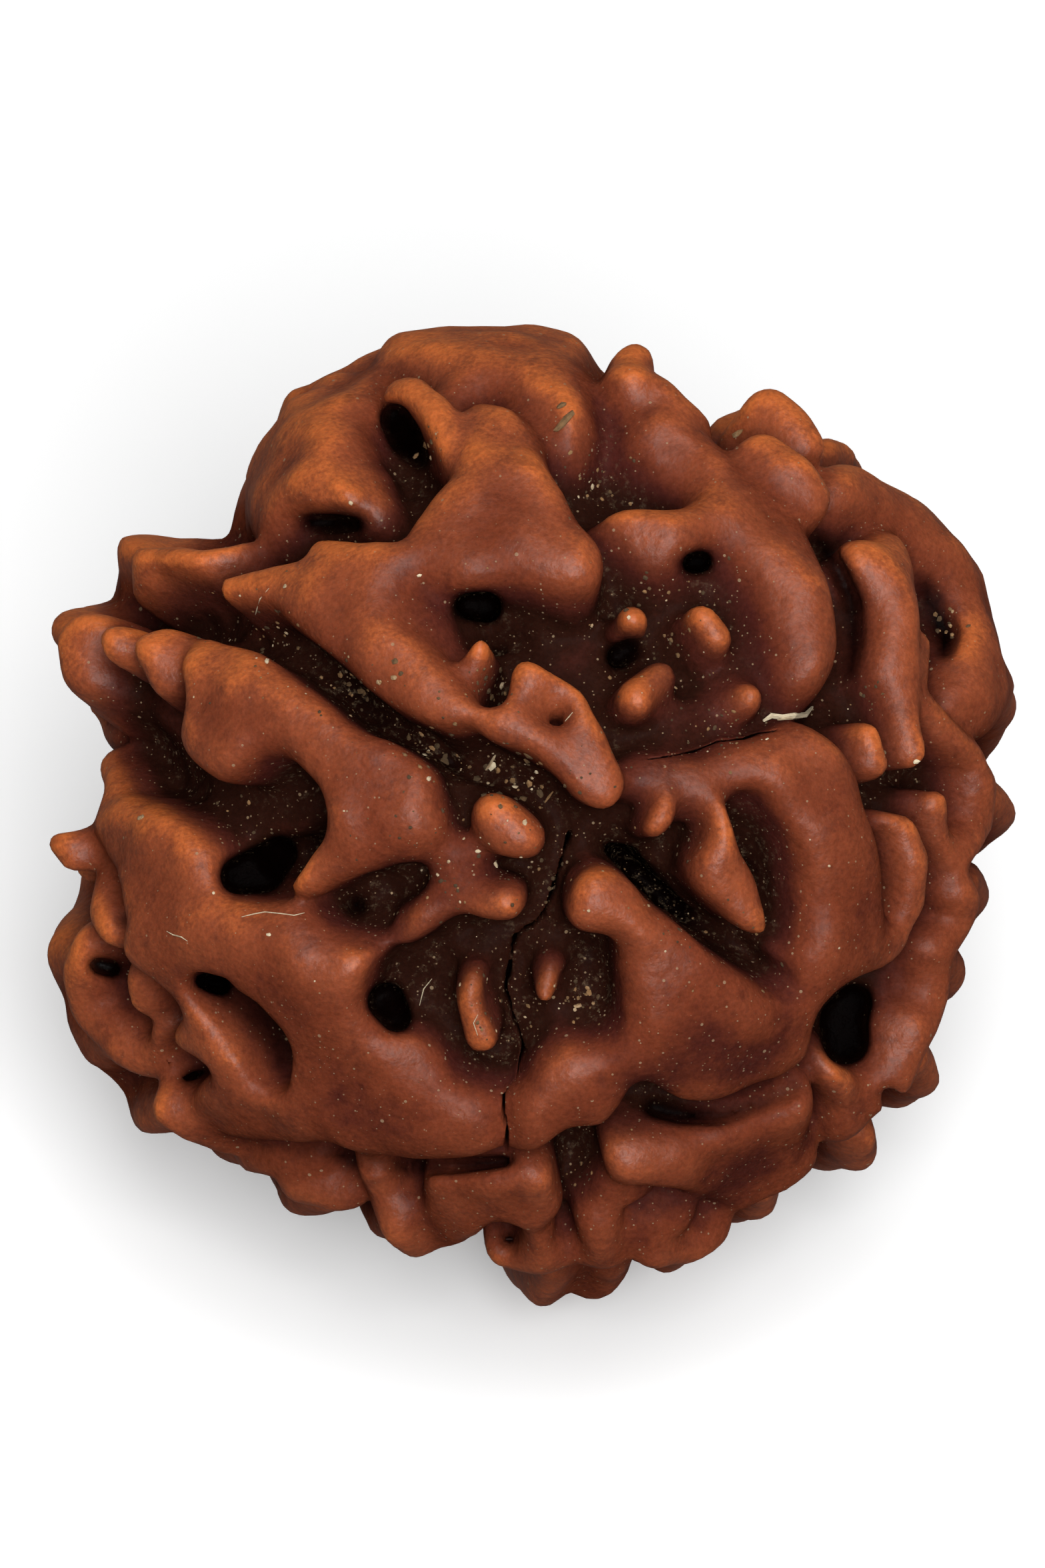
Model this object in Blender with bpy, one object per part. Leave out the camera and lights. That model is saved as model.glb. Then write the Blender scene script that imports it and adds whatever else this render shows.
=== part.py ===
"""Rudraksha bead: one woody stone with four grooved lobes, resting on a small flat spot.

Units are metres, +Z is up. The origin is the centre of the flat spot that the bead stands on.
The bead's face, where the grooves meet in a star, looks forward (-Y) and up.

The relief is laid out on a face plan: x to the right and y up, in millimetres from the bead's
middle, seen straight along the line from the middle to the face. The far side carries the same
relief, turned half a turn about a line across the plan, and bars around the waist join the two.
"""
import math

import bmesh
import bpy
import numpy as np

MM = 0.001

# Driving dimensions in millimetres
VALLEY_RADIUS = 10.1        # floor between the ridges
CREST_RADIUS = 11.9         # tops of the ridges, where the plan's places are read
MIDDLE_HEIGHT = 11.2        # bead's middle above the surface that it stands on
FACE_TILT_DEG = 43.0        # how far the face looks up from the horizontal
TURN_AXIS_DEG = 117.0       # line across the face plan about which the far side is turned
SPOT_RADIUS = 3.2           # flat spot under the bead
SPOT_FILL = 2.0             # how far the bead would bulge over the valley floor at the spot
SOFT_EDGE = 0.55            # half the width over which a ridge, pit or groove rises or falls
PANELS = 70                 # mesh squares along each edge of the cube that is blown up to the bead
TRIANGLE_SHARE = 0.13       # share of the fine mesh's triangles that the bead keeps

WAIST_HEIGHT = 1.7          # bars around the waist: crest height over the valley floor
WAIST_HALF_WIDTH = 0.75
WAIST_REACH_DEG = 15.0      # how far each bar runs to either side of the waist
WAIST_SLANT_DEG = 5.0       # how far its ends are turned about the face's axis
WAIST_PLACES_DEG = (0, 13, 25, 38, 49, 60, 77, 96, 107, 118, 129, 146, 157, 167, 178,
                    197, 206, 218, 230, 242, 255, 268, 279, 290, 301, 315, 326, 340, 350)

BEAD_COLOUR = (0.27, 0.085, 0.042, 1.0)
BEAD_ROUGHNESS = 0.5

# Ridges and knobs: crest height over the valley floor, half-width, points on the face plan
RIDGES = {
    "arch": (1.7, 0.6, [(-3.0, 10.5), (-2.4, 9.9), (-1.8, 9.4), (-1.9, 8.6)]),
    "brow": (1.4, 0.8, [(-5.6, 8.2), (-3.7, 8.5)]),
    "crown": (1.7, 0.9, [(-6.3, 9.2), (-4.4, 10.4), (-2.2, 11.4), (0.8, 11.2)]),
    "left_bar": (1.8, 0.8, [(-9.3, 6.4), (-7.0, 6.2)]),
    "tower": (1.8, 1.3, [(-1.2, 9.6), (-0.8, 8.2), (-0.6, 6.9), (0.7, 5.8)]),
    "tower_branch": (1.6, 0.8, [(-5.5, 5.6), (-3.7, 6.5), (-1.7, 6.2)]),
    "upper_bank": (1.6, 0.7, [(-7.5, 5.8), (-6.0, 5.6), (-3.7, 3.8), (-1.5, 2.3)]),
    "ear": (1.7, 0.7, [(-1.4, 2.3), (-0.4, 3.1), (1.2, 2.9), (2.0, 1.5), (2.1, 0.4)]),
    "spike": (1.4, 0.3, [(-1.2, 4.0), (-1.1, 3.5)]),
    "top_rim": (1.9, 0.9, [(1.9, 10.4), (3.4, 9.7), (5.0, 8.5), (6.5, 7.0), (7.4, 4.9), (7.0, 3.2)]),
    "rim_branch": (1.5, 0.6, [(5.2, 8.1), (3.6, 7.3), (2.1, 7.5)]),
    "knob_one": (1.2, 0.4, [(2.6, 4.8)]),
    "knob_two": (1.4, 0.4, [(4.4, 4.8), (4.8, 4.2)]),
    "knob_three": (1.4, 0.4, [(2.6, 2.8), (3.4, 3.3)]),
    "knob_four": (1.2, 0.4, [(5.5, 2.7)]),
    "horn": (1.9, 0.6, [(2.7, 11.0), (3.9, 9.9)]),
    "right_knobs": (2.0, 0.7, [(5.9, 9.9), (5.6, 8.9), (7.0, 7.6)]),
    "right_ridge": (1.8, 0.9, [(8.8, 7.2), (8.3, 5.6), (8.6, 3.5), (8.6, 0.8)]),
    "right_edge": (1.8, 0.8, [(9.9, 6.1), (11.0, 4.6), (11.6, 2.7), (10.6, 1.4)]),
    "right_lower": (1.8, 0.7, [(8.8, -0.2), (9.8, -1.1), (9.7, -2.7), (8.6, -4.0)]),
    "right_foot": (1.8, 0.7, [(10.8, -1.4), (10.7, -3.4), (9.8, -5.6), (8.3, -7.4), (5.6, -9.4)]),
    "plate": (1.8, 1.0, [(6.6, 1.3), (7.4, -0.5), (7.6, -2.6), (6.6, -4.6), (5.4, -6.0), (3.7, -6.7)]),
    "plate_body": (1.5, 1.1, [(6.6, -4.6), (4.6, -5.0), (2.9, -5.6)]),
    "spearhead": (1.7, 0.5, [(4.6, 0.1), (4.3, -1.3), (5.5, -2.7)]),
    "crescent": (1.4, 0.4, [(3.3, 0.4), (3.1, -0.4)]),
    "big_knob": (1.6, 0.7, [(-0.8, -0.3), (-0.1, -0.4)]),
    "lower_knob": (1.3, 0.5, [(-1.1, -2.2), (-0.6, -2.2)]),
    "club": (1.8, 0.8, [(1.8, -2.0), (3.2, -2.6), (4.4, -3.9), (6.4, -4.8)]),
    "bean": (1.3, 0.4, [(-1.4, -4.0), (-1.5, -4.7), (-1.1, -5.8)]),
    "seed": (1.2, 0.35, [(0.5, -4.3)]),
    "chin": (1.7, 0.7, [(-0.6, -7.1), (0.8, -6.3), (2.1, -6.2)]),
    "lower_bank": (1.7, 0.9, [(-8.3, 4.3), (-6.9, 3.7), (-4.9, 2.4), (-2.6, 0.9)]),
    "left_lobe": (1.6, 1.0, [(-8.4, 3.4), (-8.1, 1.3), (-6.9, 0.8)]),
    "hollow_side": (1.6, 0.7, [(-5.2, 1.6), (-4.8, 0.2), (-4.3, -0.7), (-5.8, -1.4)]),
    "left_ridge": (1.8, 1.0, [(-9.2, -0.6), (-8.6, -2.3), (-7.0, -3.1), (-4.9, -3.6), (-4.2, -5.6)]),
    "left_plate": (1.6, 1.2, [(-5.2, -4.4), (-5.4, -6.2), (-3.8, -7.2), (-1.4, -7.2), (-2.4, -6.0)]),
    "left_rim": (1.7, 0.7, [(-10.8, -2.2), (-10.2, -3.4), (-8.3, -3.8)]),
    "left_points": (1.9, 0.6, [(-10.4, 4.9), (-10.9, 3.6), (-10.2, 2.4)]),
    "left_thorn": (2.2, 0.4, [(-11.6, -0.6), (-10.8, -0.9)]),
    "left_foot": (1.8, 0.8, [(-11.1, -4.2), (-10.2, -5.8), (-8.9, -7.1)]),
    "foot_knobs": (1.6, 0.5, [(-9.6, -4.8), (-8.4, -5.8), (-7.8, -6.4)]),
    "bottom_rim": (1.7, 0.7, [(-8.1, -7.4), (-6.6, -8.0), (-3.4, -8.4), (-0.6, -8.2)]),
    "bottom_left": (1.9, 0.7, [(-6.8, -8.8), (-4.4, -9.8), (-2.6, -10.6)]),
    "bottom_knot": (1.8, 0.8, [(-2.2, -9.3), (-1.0, -9.9), (0.4, -9.3)]),
    "bottom_lump": (1.9, 0.7, [(-0.9, -11.2), (1.8, -11.2), (3.8, -10.8)]),
    "bottom_right": (1.8, 0.7, [(3.2, -9.2), (5.2, -9.4), (6.8, -7.9), (6.9, -6.4)]),
}

# Grooves, cracks, pits and hollows: depth under the valley floor, half-width, points on the plan
HOLLOWS = {
    "groove_upper_left": (1.3, 0.5, [(-9.8, 5.5), (-8.7, 4.9), (-7.0, 4.6), (-5.4, 3.8), (-3.7, 2.4),
                                     (-2.1, 1.6), (0.1, 0.9), (0.9, -0.3)]),
    "groove_lower_right": (1.3, 0.5, [(0.9, -0.3), (2.7, -0.9), (3.6, -1.9), (4.6, -3.1), (6.4, -4.2),
                                      (7.8, -5.4), (9.4, -6.6)]),
    "groove_upper_right": (0.9, 0.4, [(2.7, 1.3), (4.2, 1.6), (5.9, 2.0), (7.5, 3.0), (7.8, 4.6),
                                      (7.3, 6.4), (5.8, 8.3), (4.7, 9.4)]),
    "crack_down": (0.4, 0.2, [(0.9, -0.3), (0.7, -1.7), (-0.2, -2.9), (-0.5, -4.3), (-0.1, -5.5),
                              (-0.6, -7.0), (-0.6, -8.1)]),
    "crown_pit": (1.3, 0.7, [(-2.8, 9.0), (-2.3, 8.5)]),
    "brow_pit": (0.8, 0.4, [(-4.7, 7.0)]),
    "tower_pit": (1.3, 0.7, [(-1.4, 4.9), (-0.8, 4.9)]),
    "rim_pit": (0.8, 0.4, [(4.0, 6.1)]),
    "knob_pit": (0.7, 0.5, [(3.1, 4.2), (3.4, 3.9)]),
    "left_hollow": (1.4, 1.2, [(-6.2, 0.4), (-6.6, -1.7)]),
    "small_hollow": (1.1, 0.7, [(-4.6, -2.0), (-3.2, -2.2)]),
    "left_pit": (1.3, 0.7, [(-3.3, -4.5), (-2.5, -3.8)]),
    "club_pit": (0.8, 0.5, [(1.6, -4.0), (1.6, -4.7)]),
    "spear_valley": (0.8, 0.4, [(5.6, 0.0), (6.2, -1.6), (6.0, -3.2)]),
    "right_pit": (1.3, 0.7, [(9.8, 5.2), (10.1, 4.2)]),
    "lower_right_pit": (1.4, 0.8, [(7.6, -4.9), (7.7, -5.6)]),
    "left_cave": (1.1, 0.6, [(-7.5, -4.2), (-6.6, -5.2), (-6.0, -6.2)]),
    "plate_gap": (1.0, 0.5, [(2.6, -7.0), (4.0, -7.4), (5.9, -7.0)]),
}


def lifted(points):
    """Places on the near side of the valley floor, for points read on the face plan."""
    plan = np.array(points)
    depth = np.sqrt(np.maximum(CREST_RADIUS ** 2 - (plan ** 2).sum(axis=1), 0.0))
    places = np.column_stack([plan, depth])
    return places * VALLEY_RADIUS / np.linalg.norm(places, axis=1, keepdims=True)


def turned(places):
    """The same places, half a turn on about the line across the face plan."""
    angle = math.radians(TURN_AXIS_DEG)
    axis = np.array([math.cos(angle), math.sin(angle), 0.0])
    return 2.0 * np.outer(places @ axis, axis) - places


def both_sides(table):
    """Every feature of a table as height or depth, half-width and route, near side then far side."""
    features = []
    for size, half_width, points in table.values():
        near = lifted(points)
        features.append((size, half_width, near))
        features.append((size, half_width, turned(near)))
    return features


def waist_bars():
    """Short slanted bars that carry the relief around the bead between its two sides."""
    bars = []
    reach = math.radians(WAIST_REACH_DEG)
    slant = math.radians(WAIST_SLANT_DEG)
    for index, place in enumerate(WAIST_PLACES_DEG):
        lean = slant if index % 2 else -slant
        ends = []
        for side in (-1, 1):
            around = math.radians(place) + side * lean
            ends.append([math.cos(around) * math.cos(reach), math.sin(around) * math.cos(reach),
                         side * math.sin(reach)])
        bars.append((WAIST_HEIGHT, WAIST_HALF_WIDTH, np.array(ends) * VALLEY_RADIUS))
    return bars


def distance_to_route(places, route):
    """Shortest distance from each place to a line of straight stretches, or to a single point."""
    if len(route) == 1:
        return np.linalg.norm(places - route[0], axis=1)
    nearest = np.full(len(places), np.inf)
    for start, end in zip(route, route[1:]):
        stretch = end - start
        along = np.clip((places - start) @ stretch / (stretch @ stretch), 0.0, 1.0)
        gap = np.linalg.norm(places - start - along[:, None] * stretch, axis=1)
        nearest = np.minimum(nearest, gap)
    return nearest


def share(distance, half_width):
    """1 on a feature, 0 away from it, with a rounded step at its half-width."""
    inner = max(half_width - SOFT_EDGE, 0.0)
    outer = half_width + SOFT_EDGE
    ratio = np.clip((outer - distance) / (outer - inner), 0.0, 1.0)
    return ratio * ratio * (3.0 - 2.0 * ratio)


def highest(places, features):
    """The largest rise, or deepest cut, that any one feature gives at each place."""
    result = np.zeros(len(places))
    for size, half_width, route in features:
        result = np.maximum(result, size * share(distance_to_route(places, route), half_width))
    return result


def face_axes():
    """The plan's right, up and outward directions in the part's frame, one in each row."""
    tilt = math.radians(FACE_TILT_DEG)
    return np.array([[1.0, 0.0, 0.0],
                     [0.0, math.sin(tilt), math.cos(tilt)],
                     [0.0, -math.cos(tilt), math.sin(tilt)]])


def skin_radius(directions):
    """Radius in millimetres of the bead's skin in each direction of the part's frame."""
    places = directions @ face_axes().T * VALLEY_RADIUS
    rise = highest(places, both_sides(RIDGES) + waist_bars())
    cut = highest(places, both_sides(HOLLOWS))
    relief = rise * (1.0 - np.minimum(cut, 1.0)) - cut
    straight_down = np.array([0.0, 0.0, -1.0])
    from_below = np.linalg.norm(directions - straight_down, axis=1) * MIDDLE_HEIGHT
    under = share(from_below, SPOT_RADIUS + SOFT_EDGE)
    return VALLEY_RADIUS + relief + (SPOT_FILL - relief) * under


def blown_cube():
    """A cube of square panels, spread evenly over the unit sphere, as mesh data."""
    cube = bmesh.new()
    bmesh.ops.create_cube(cube, size=2.0)
    bmesh.ops.subdivide_edges(cube, edges=cube.edges[:], cuts=PANELS - 1, use_grid_fill=True)
    bmesh.ops.triangulate(cube, faces=cube.faces[:])
    data = bpy.data.meshes.new("bead")
    cube.to_mesh(data)
    cube.free()
    return data


def read_points(data):
    points = np.empty(len(data.vertices) * 3, dtype=np.float32)
    data.vertices.foreach_get("co", points)
    return points.reshape(-1, 3).astype(float)


def shape_bead(data):
    """Move the cube's points onto the bead's skin, cut off level at the flat spot."""
    spread = np.tan(read_points(data) * math.pi / 4.0)
    directions = spread / np.linalg.norm(spread, axis=1, keepdims=True)
    radius = skin_radius(directions)
    down = np.maximum(-directions[:, 2], 1e-9)
    radius = np.minimum(radius, MIDDLE_HEIGHT / down)
    points = directions * radius[:, None]
    points[:, 2] += MIDDLE_HEIGHT
    data.vertices.foreach_set("co", (points * MM).astype(np.float32).ravel())
    data.update()


def bead_material():
    material = bpy.data.materials.new("bead_wood")
    material.use_nodes = True
    shader = material.node_tree.nodes["Principled BSDF"]
    shader.inputs["Base Color"].default_value = BEAD_COLOUR
    shader.inputs["Roughness"].default_value = BEAD_ROUGHNESS
    shader.inputs["Metallic"].default_value = 0.0
    material.diffuse_color = BEAD_COLOUR
    return material


def build_bead():
    data = blown_cube()
    shape_bead(data)
    data.shade_smooth()
    data.materials.append(bead_material())
    bead = bpy.data.objects.new("bead", data)
    bpy.context.scene.collection.objects.link(bead)
    thinning = bead.modifiers.new("thinning", "DECIMATE")
    thinning.ratio = TRIANGLE_SHARE


def main():
    for thing in list(bpy.data.objects):
        bpy.data.objects.remove(thing, do_unlink=True)
    build_bead()


main()
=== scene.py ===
import math

import bmesh
import bpy
import numpy as np
from mathutils import Matrix, Vector


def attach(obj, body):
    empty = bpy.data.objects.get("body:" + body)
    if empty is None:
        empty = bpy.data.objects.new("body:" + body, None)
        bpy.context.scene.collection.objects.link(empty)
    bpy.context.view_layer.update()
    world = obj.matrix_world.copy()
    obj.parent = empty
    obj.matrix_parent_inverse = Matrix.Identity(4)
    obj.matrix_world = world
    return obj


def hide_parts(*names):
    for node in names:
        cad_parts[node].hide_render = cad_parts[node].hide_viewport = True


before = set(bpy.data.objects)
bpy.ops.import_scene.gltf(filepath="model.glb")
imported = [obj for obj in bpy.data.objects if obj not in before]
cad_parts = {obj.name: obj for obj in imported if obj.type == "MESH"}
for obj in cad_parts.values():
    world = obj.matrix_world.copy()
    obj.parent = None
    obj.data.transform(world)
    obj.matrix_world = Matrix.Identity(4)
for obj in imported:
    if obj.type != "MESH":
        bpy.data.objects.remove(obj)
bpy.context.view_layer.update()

# A rudraksha bead: one round woody fruit stone with ridges, knobs and pits.
# Shapes are written in the plan of the face where the grooves meet: x to the
# right, y up the face, z out of it, all in millimetres from the bead's middle.

MM = 0.001
CREST = (11.7, 11.7, 11.25)
VALLEY = -2.1
FACE_TILT_DEG = 43.0
TURN_AXIS_DEG = 117.0
MIDDLE_HEIGHT = 11.2
PAD_RADIUS = 3.3
PAD_DROP = 0.1
PAD_EDGE = 0.9
PLATE_EDGE = 0.3
PIT_MOUTH = 0.35
GRID_HALF = 12.8
CELL = 0.15
TRIANGLES = 184000
MARGIN = 1.2
ROOT = -3.0
OUTSIDE = 0.8
WALL_TOP = 0.3
RIDGE_SPLAY = 0.12
HOLE_EDGE = 0.15
HOLE_SHADE = 0.3
ABOVE = 14.0
TINY = 1e-9
FAR_OFF = 1e9
OPENNESS_RAYS = 14

# Unevenness, as seed, length, size and how many waves: of the plates, the
# valley floor, the rubble in deep places and the whole skin.
PLATE_WAVES = [(3, 4.2, 0.13, 7), (4, 1.7, 0.06, 7)]
FLOOR_WAVE = (5, 3.4, 0.2, 7)
RUBBLE_WAVE = (6, 0.62, 0.10, 9)
RUBBLE_LEVEL = -1.1
SKIN_WAVE = (7, 1.0, 0.028, 8)

# How far the outline of the face stands from the middle, round the plan.
RIM = [
    (0, 11.85), (15, 12.35), (30, 12.2), (43, 12.25), (52, 12.05), (63, 11.45), (73, 11.2), (77, 10.9),
    (80, 10.9), (84, 11.6), (90, 11.8), (105, 11.95), (112, 11.5), (120, 11.8), (128, 10.7),
    (138, 10.0), (146, 11.8), (150, 11.5), (153, 11.4), (156, 12.4), (160, 12.5), (165, 12.2),
    (168, 11.1), (178, 11.2), (190, 11.4), (197, 12.1), (200, 12.2), (210, 12.0), (215, 11.7),
    (220, 12.1), (230, 11.2), (240, 11.3), (250, 11.3), (260, 11.2), (271, 12.2), (285, 12.0),
    (298, 11.35), (311, 11.6), (323, 12.2), (335, 11.65), (348, 11.75),
]

# Broad plates: height over the crest shape, edge rounding, blend, splay of the
# walls, and the outline.
PLATES = {
    "tower": (0.0, 0.75, 0.5, 0.12, [
        (-1.75, 9.5), (-1.5, 9.95), (-0.9, 10.05), (-0.3, 9.75), (0.25, 9.3), (0.45, 8.6), (0.8, 7.9),
        (1.2, 7.1), (1.7, 6.6), (1.9, 6.0), (1.6, 5.4), (0.8, 5.4), (0.1, 5.6), (-0.6, 5.7),
        (-1.2, 5.35), (-1.8, 5.5), (-2.6, 5.7), (-3.3, 5.85), (-2.9, 6.9), (-2.5, 7.6), (-1.9, 8.1),
        (-1.75, 8.9)]),
    "crown": (0.0, 1.0, 0.6, 0.3, [
        (-3.9, 10.3), (-3.3, 10.6), (-2.6, 10.7), (-2.0, 10.1), (-1.6, 10.2), (-0.9, 10.35),
        (-0.1, 9.95), (0.6, 9.2), (1.2, 8.9), (1.9, 9.4), (2.1, 10.2), (1.7, 10.9), (1.2, 11.4),
        (0.0, 11.6), (-1.5, 11.65), (-3.0, 11.35), (-3.9, 10.95)]),
    "upper_bank": (-0.05, 0.62, 0.4, -0.02, [
        (-6.1, 5.2), (-5.6, 5.9), (-5.0, 6.55), (-4.5, 6.75), (-3.9, 6.55), (-3.3, 6.6), (-2.6, 6.5),
        (-2.6, 5.8), (-3.05, 5.55), (-3.25, 5.15), (-3.1, 4.75), (-2.8, 4.45), (-2.4, 4.1),
        (-1.95, 3.6), (-1.45, 3.0), (-1.3, 2.4), (-1.6, 2.12), (-2.2, 2.1), (-3.0, 2.35),
        (-3.6, 2.75), (-4.2, 3.25), (-4.8, 3.8), (-5.5, 4.3), (-6.1, 4.8)]),
    "ear": (0.1, 0.55, 0.3, -0.08, [
        (-1.42, 2.35), (-1.25, 2.52), (-0.9, 2.5), (-0.6, 2.7), (-0.45, 3.2), (-0.4, 3.6), (-0.2, 3.8),
        (0.1, 3.75), (0.4, 3.55), (0.8, 3.35), (1.2, 3.15), (1.5, 2.9), (1.65, 2.5), (1.8, 2.2),
        (1.95, 1.9), (2.1, 1.5), (2.25, 1.2), (2.38, 0.8), (2.35, 0.4), (2.15, 0.12), (1.8, 0.02),
        (1.4, 0.2), (1.1, 0.35), (0.9, 0.6), (0.7, 0.9), (0.45, 1.1), (0.1, 1.3), (-0.3, 1.5),
        (-0.6, 1.6), (-1.0, 1.8), (-1.3, 2.1)]),
    "lower_bank": (0.0, 0.7, 0.45, 0.02, [
        (-8.35, 4.2), (-8.0, 4.45), (-7.5, 4.3), (-7.0, 4.1), (-6.5, 4.0), (-6.0, 3.6), (-5.4, 3.15),
        (-4.9, 2.8), (-4.4, 2.3), (-4.0, 2.0), (-3.4, 1.85), (-2.9, 1.65), (-2.4, 1.25), (-2.15, 0.8),
        (-2.05, 0.2), (-2.0, -0.3), (-2.15, -0.85), (-2.8, -1.2), (-3.4, -1.35),
        (-4.0, -1.55), (-4.7, -1.85), (-5.3, -2.1), (-5.9, -1.9), (-5.95, -1.5), (-5.5, -1.05),
        (-5.1, -0.8), (-4.9, -0.4), (-4.85, 0.1), (-5.1, 0.6), (-5.5, 1.1), (-5.9, 1.4), (-6.4, 1.3),
        (-6.7, 1.0), (-7.0, 0.7), (-7.5, 0.75), (-8.0, 1.15), (-8.3, 1.6), (-8.4, 2.1), (-8.25, 2.9),
        (-8.4, 3.5)]),
    "south": (0.0, 0.75, 0.5, 0.05, [
        (-10.4, 0.6), (-9.6, 0.3), (-8.6, -0.1), (-7.8, -0.9), (-7.4, -2.0), (-6.6, -2.25),
        (-5.7, -2.2), (-5.1, -2.7), (-4.3, -3.1), (-3.5, -3.2), (-3.9, -3.9), (-3.95, -4.7),
        (-3.5, -5.3), (-2.9, -5.6), (-2.3, -6.0), (-1.8, -6.6), (-1.2, -6.8), (-0.75, -6.9),
        (-0.6, -7.5), (-0.62, -8.0), (-1.4, -8.3), (-2.4, -8.35), (-3.4, -8.35), (-4.1, -8.2),
        (-4.6, -8.0), (-5.6, -7.95), (-6.6, -7.95), (-7.3, -7.75), (-8.0, -7.5), (-8.25, -7.1),
        (-8.1, -6.6), (-7.5, -6.15), (-8.2, -5.95), (-8.75, -5.5), (-8.7, -5.2), (-8.4, -4.8),
        (-8.6, -4.4), (-9.1, -3.95), (-9.6, -3.5), (-9.7, -3.1), (-9.55, -2.5), (-9.7, -1.9),
        (-10.3, -1.0), (-10.6, -0.4)]),
    "club_and_lobe": (0.0, 0.75, 0.45, 0.08, [
        (0.9, -2.3), (1.0, -1.8), (1.35, -1.45), (1.8, -1.32), (2.3, -1.45), (2.75, -1.85),
        (3.05, -2.3), (3.6, -2.6), (4.1, -3.0), (4.6, -3.5), (5.2, -3.95), (5.8, -4.3), (6.4, -4.35),
        (6.35, -3.8), (6.5, -3.2), (6.6, -2.4), (6.5, -1.6), (6.3, -0.9), (6.0, -0.4), (5.6, 0.2),
        (5.3, 0.6), (5.2, 1.1), (5.6, 1.6), (6.0, 2.0), (6.5, 2.28), (7.0, 2.15), (7.5, 1.85),
        (7.8, 1.4), (8.0, 0.9), (8.1, 0.2), (8.3, -0.4), (8.5, -1.1), (8.65, -1.8), (8.72, -2.5),
        (8.65, -3.2), (8.4, -3.8), (7.9, -4.05), (7.4, -4.5), (7.1, -5.0), (6.98, -5.6), (6.9, -6.0),
        (6.4, -6.4), (5.7, -6.65), (5.0, -6.85), (4.4, -7.05), (3.8, -7.05), (3.3, -6.85),
        (2.9, -6.55), (2.6, -6.55), (2.4, -6.9), (2.15, -7.35), (1.8, -7.65), (1.3, -7.6),
        (0.9, -7.65), (0.5, -7.95), (0.0, -8.15), (-0.4, -8.05), (-0.47, -7.5), (-0.47, -6.9),
        (-0.1, -6.6), (0.3, -6.1), (0.8, -5.8), (1.5, -5.7), (2.1, -5.5), (2.4, -5.0), (2.3, -4.3),
        (2.3, -3.7), (2.35, -3.3), (2.0, -2.95), (1.5, -2.97), (1.1, -2.8)]),
    "spearhead": (-0.05, 0.6, 0.3, 0.0, [
        (4.35, 0.3), (4.7, 0.3), (4.88, -0.2), (5.0, -0.6), (5.3, -1.1), (5.65, -1.65), (5.8, -2.0),
        (5.78, -2.5), (5.85, -2.9), (5.5, -3.0), (5.0, -2.8), (4.5, -2.4), (4.1, -1.95), (3.98, -1.5),
        (4.1, -1.0), (4.4, -0.6)]),
    "top_rim": (0.05, 0.95, 0.5, 0.35, [
        (1.9, 10.3), (2.4, 10.1), (3.1, 10.05), (3.6, 9.9), (4.1, 9.4), (4.7, 9.0), (5.1, 8.55),
        (5.6, 8.2), (6.1, 7.75), (6.6, 7.25), (6.95, 6.55), (7.2, 5.8), (7.4, 5.1), (7.6, 4.3),
        (7.58, 3.7), (7.3, 3.2), (6.9, 2.98), (6.55, 3.15), (6.4, 3.7), (6.2, 4.4), (6.0, 5.0),
        (5.7, 5.7), (5.2, 6.3), (4.8, 6.6), (4.3, 6.6), (3.8, 6.3), (3.2, 6.35), (2.7, 6.7), (2.1, 7.2),
        (1.9, 7.4), (2.5, 7.5), (3.2, 7.5), (3.9, 7.55), (4.2, 7.9), (3.9, 8.4), (3.3, 8.8), (2.7, 9.0),
        (2.2, 9.3), (1.7, 9.9)]),
    "brow": (0.0, 0.95, 0.5, 0.2, [
        (-7.0, 7.2), (-6.8, 8.2), (-6.3, 9.2), (-5.8, 10.0), (-5.0, 10.4), (-4.2, 10.7), (-3.4, 10.7),
        (-3.4, 10.2), (-3.8, 9.7), (-4.0, 9.1), (-4.2, 8.7), (-4.2, 8.3), (-4.4, 7.9), (-5.0, 7.6),
        (-5.8, 7.45), (-6.2, 7.0), (-6.6, 6.7)]),
    "second_shelf": (-0.05, 0.75, 0.4, 0.0, [
        (1.75, -8.4), (2.1, -8.1), (2.8, -8.0), (3.6, -7.9), (4.5, -7.6), (5.3, -7.3), (6.0, -6.9),
        (6.6, -6.3), (6.93, -6.5), (6.95, -7.3), (6.8, -8.0), (6.3, -8.6), (5.7, -9.0), (5.1, -9.5),
        (4.5, -9.5), (3.8, -9.25), (3.3, -9.0), (2.8, -9.0), (2.3, -9.1), (1.9, -8.9)]),
    "knuckle": (0.05, 0.7, 0.35, 0.0, [
        (-2.65, -8.6), (-2.6, -9.4), (-2.45, -10.0), (-1.8, -10.35), (-1.2, -10.2), (-0.8, -9.8),
        (-0.45, -9.85), (0.1, -10.15), (0.7, -9.95), (1.0, -9.4), (0.85, -8.8), (0.5, -8.4),
        (-0.5, -8.45), (-1.6, -8.45)]),
    "oval_knob": (-0.1, 0.7, 0.3, -0.02, [
        (-1.45, 0.1), (-1.25, 0.45), (-0.9, 0.6), (-0.5, 0.5), (-0.1, 0.25), (0.2, -0.05), (0.42, -0.35),
        (0.52, -0.6), (0.45, -0.9), (0.2, -1.1), (-0.3, -1.15), (-0.85, -1.0), (-1.3, -0.5)]),
    "right_rim": (0.05, 0.9, 0.45, 0.1, [
        (6.95, 8.3), (7.3, 8.7), (7.9, 8.5), (8.6, 8.1), (9.2, 7.75), (9.9, 7.0), (10.5, 6.2),
        (10.9, 5.5), (11.1, 4.6), (11.4, 3.8), (11.75, 3.0), (11.65, 2.3), (11.2, 1.65), (10.7, 2.1),
        (10.45, 2.9), (10.5, 3.7), (10.6, 4.4), (10.5, 5.0), (10.2, 5.6), (9.75, 6.1), (9.4, 6.5),
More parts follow.
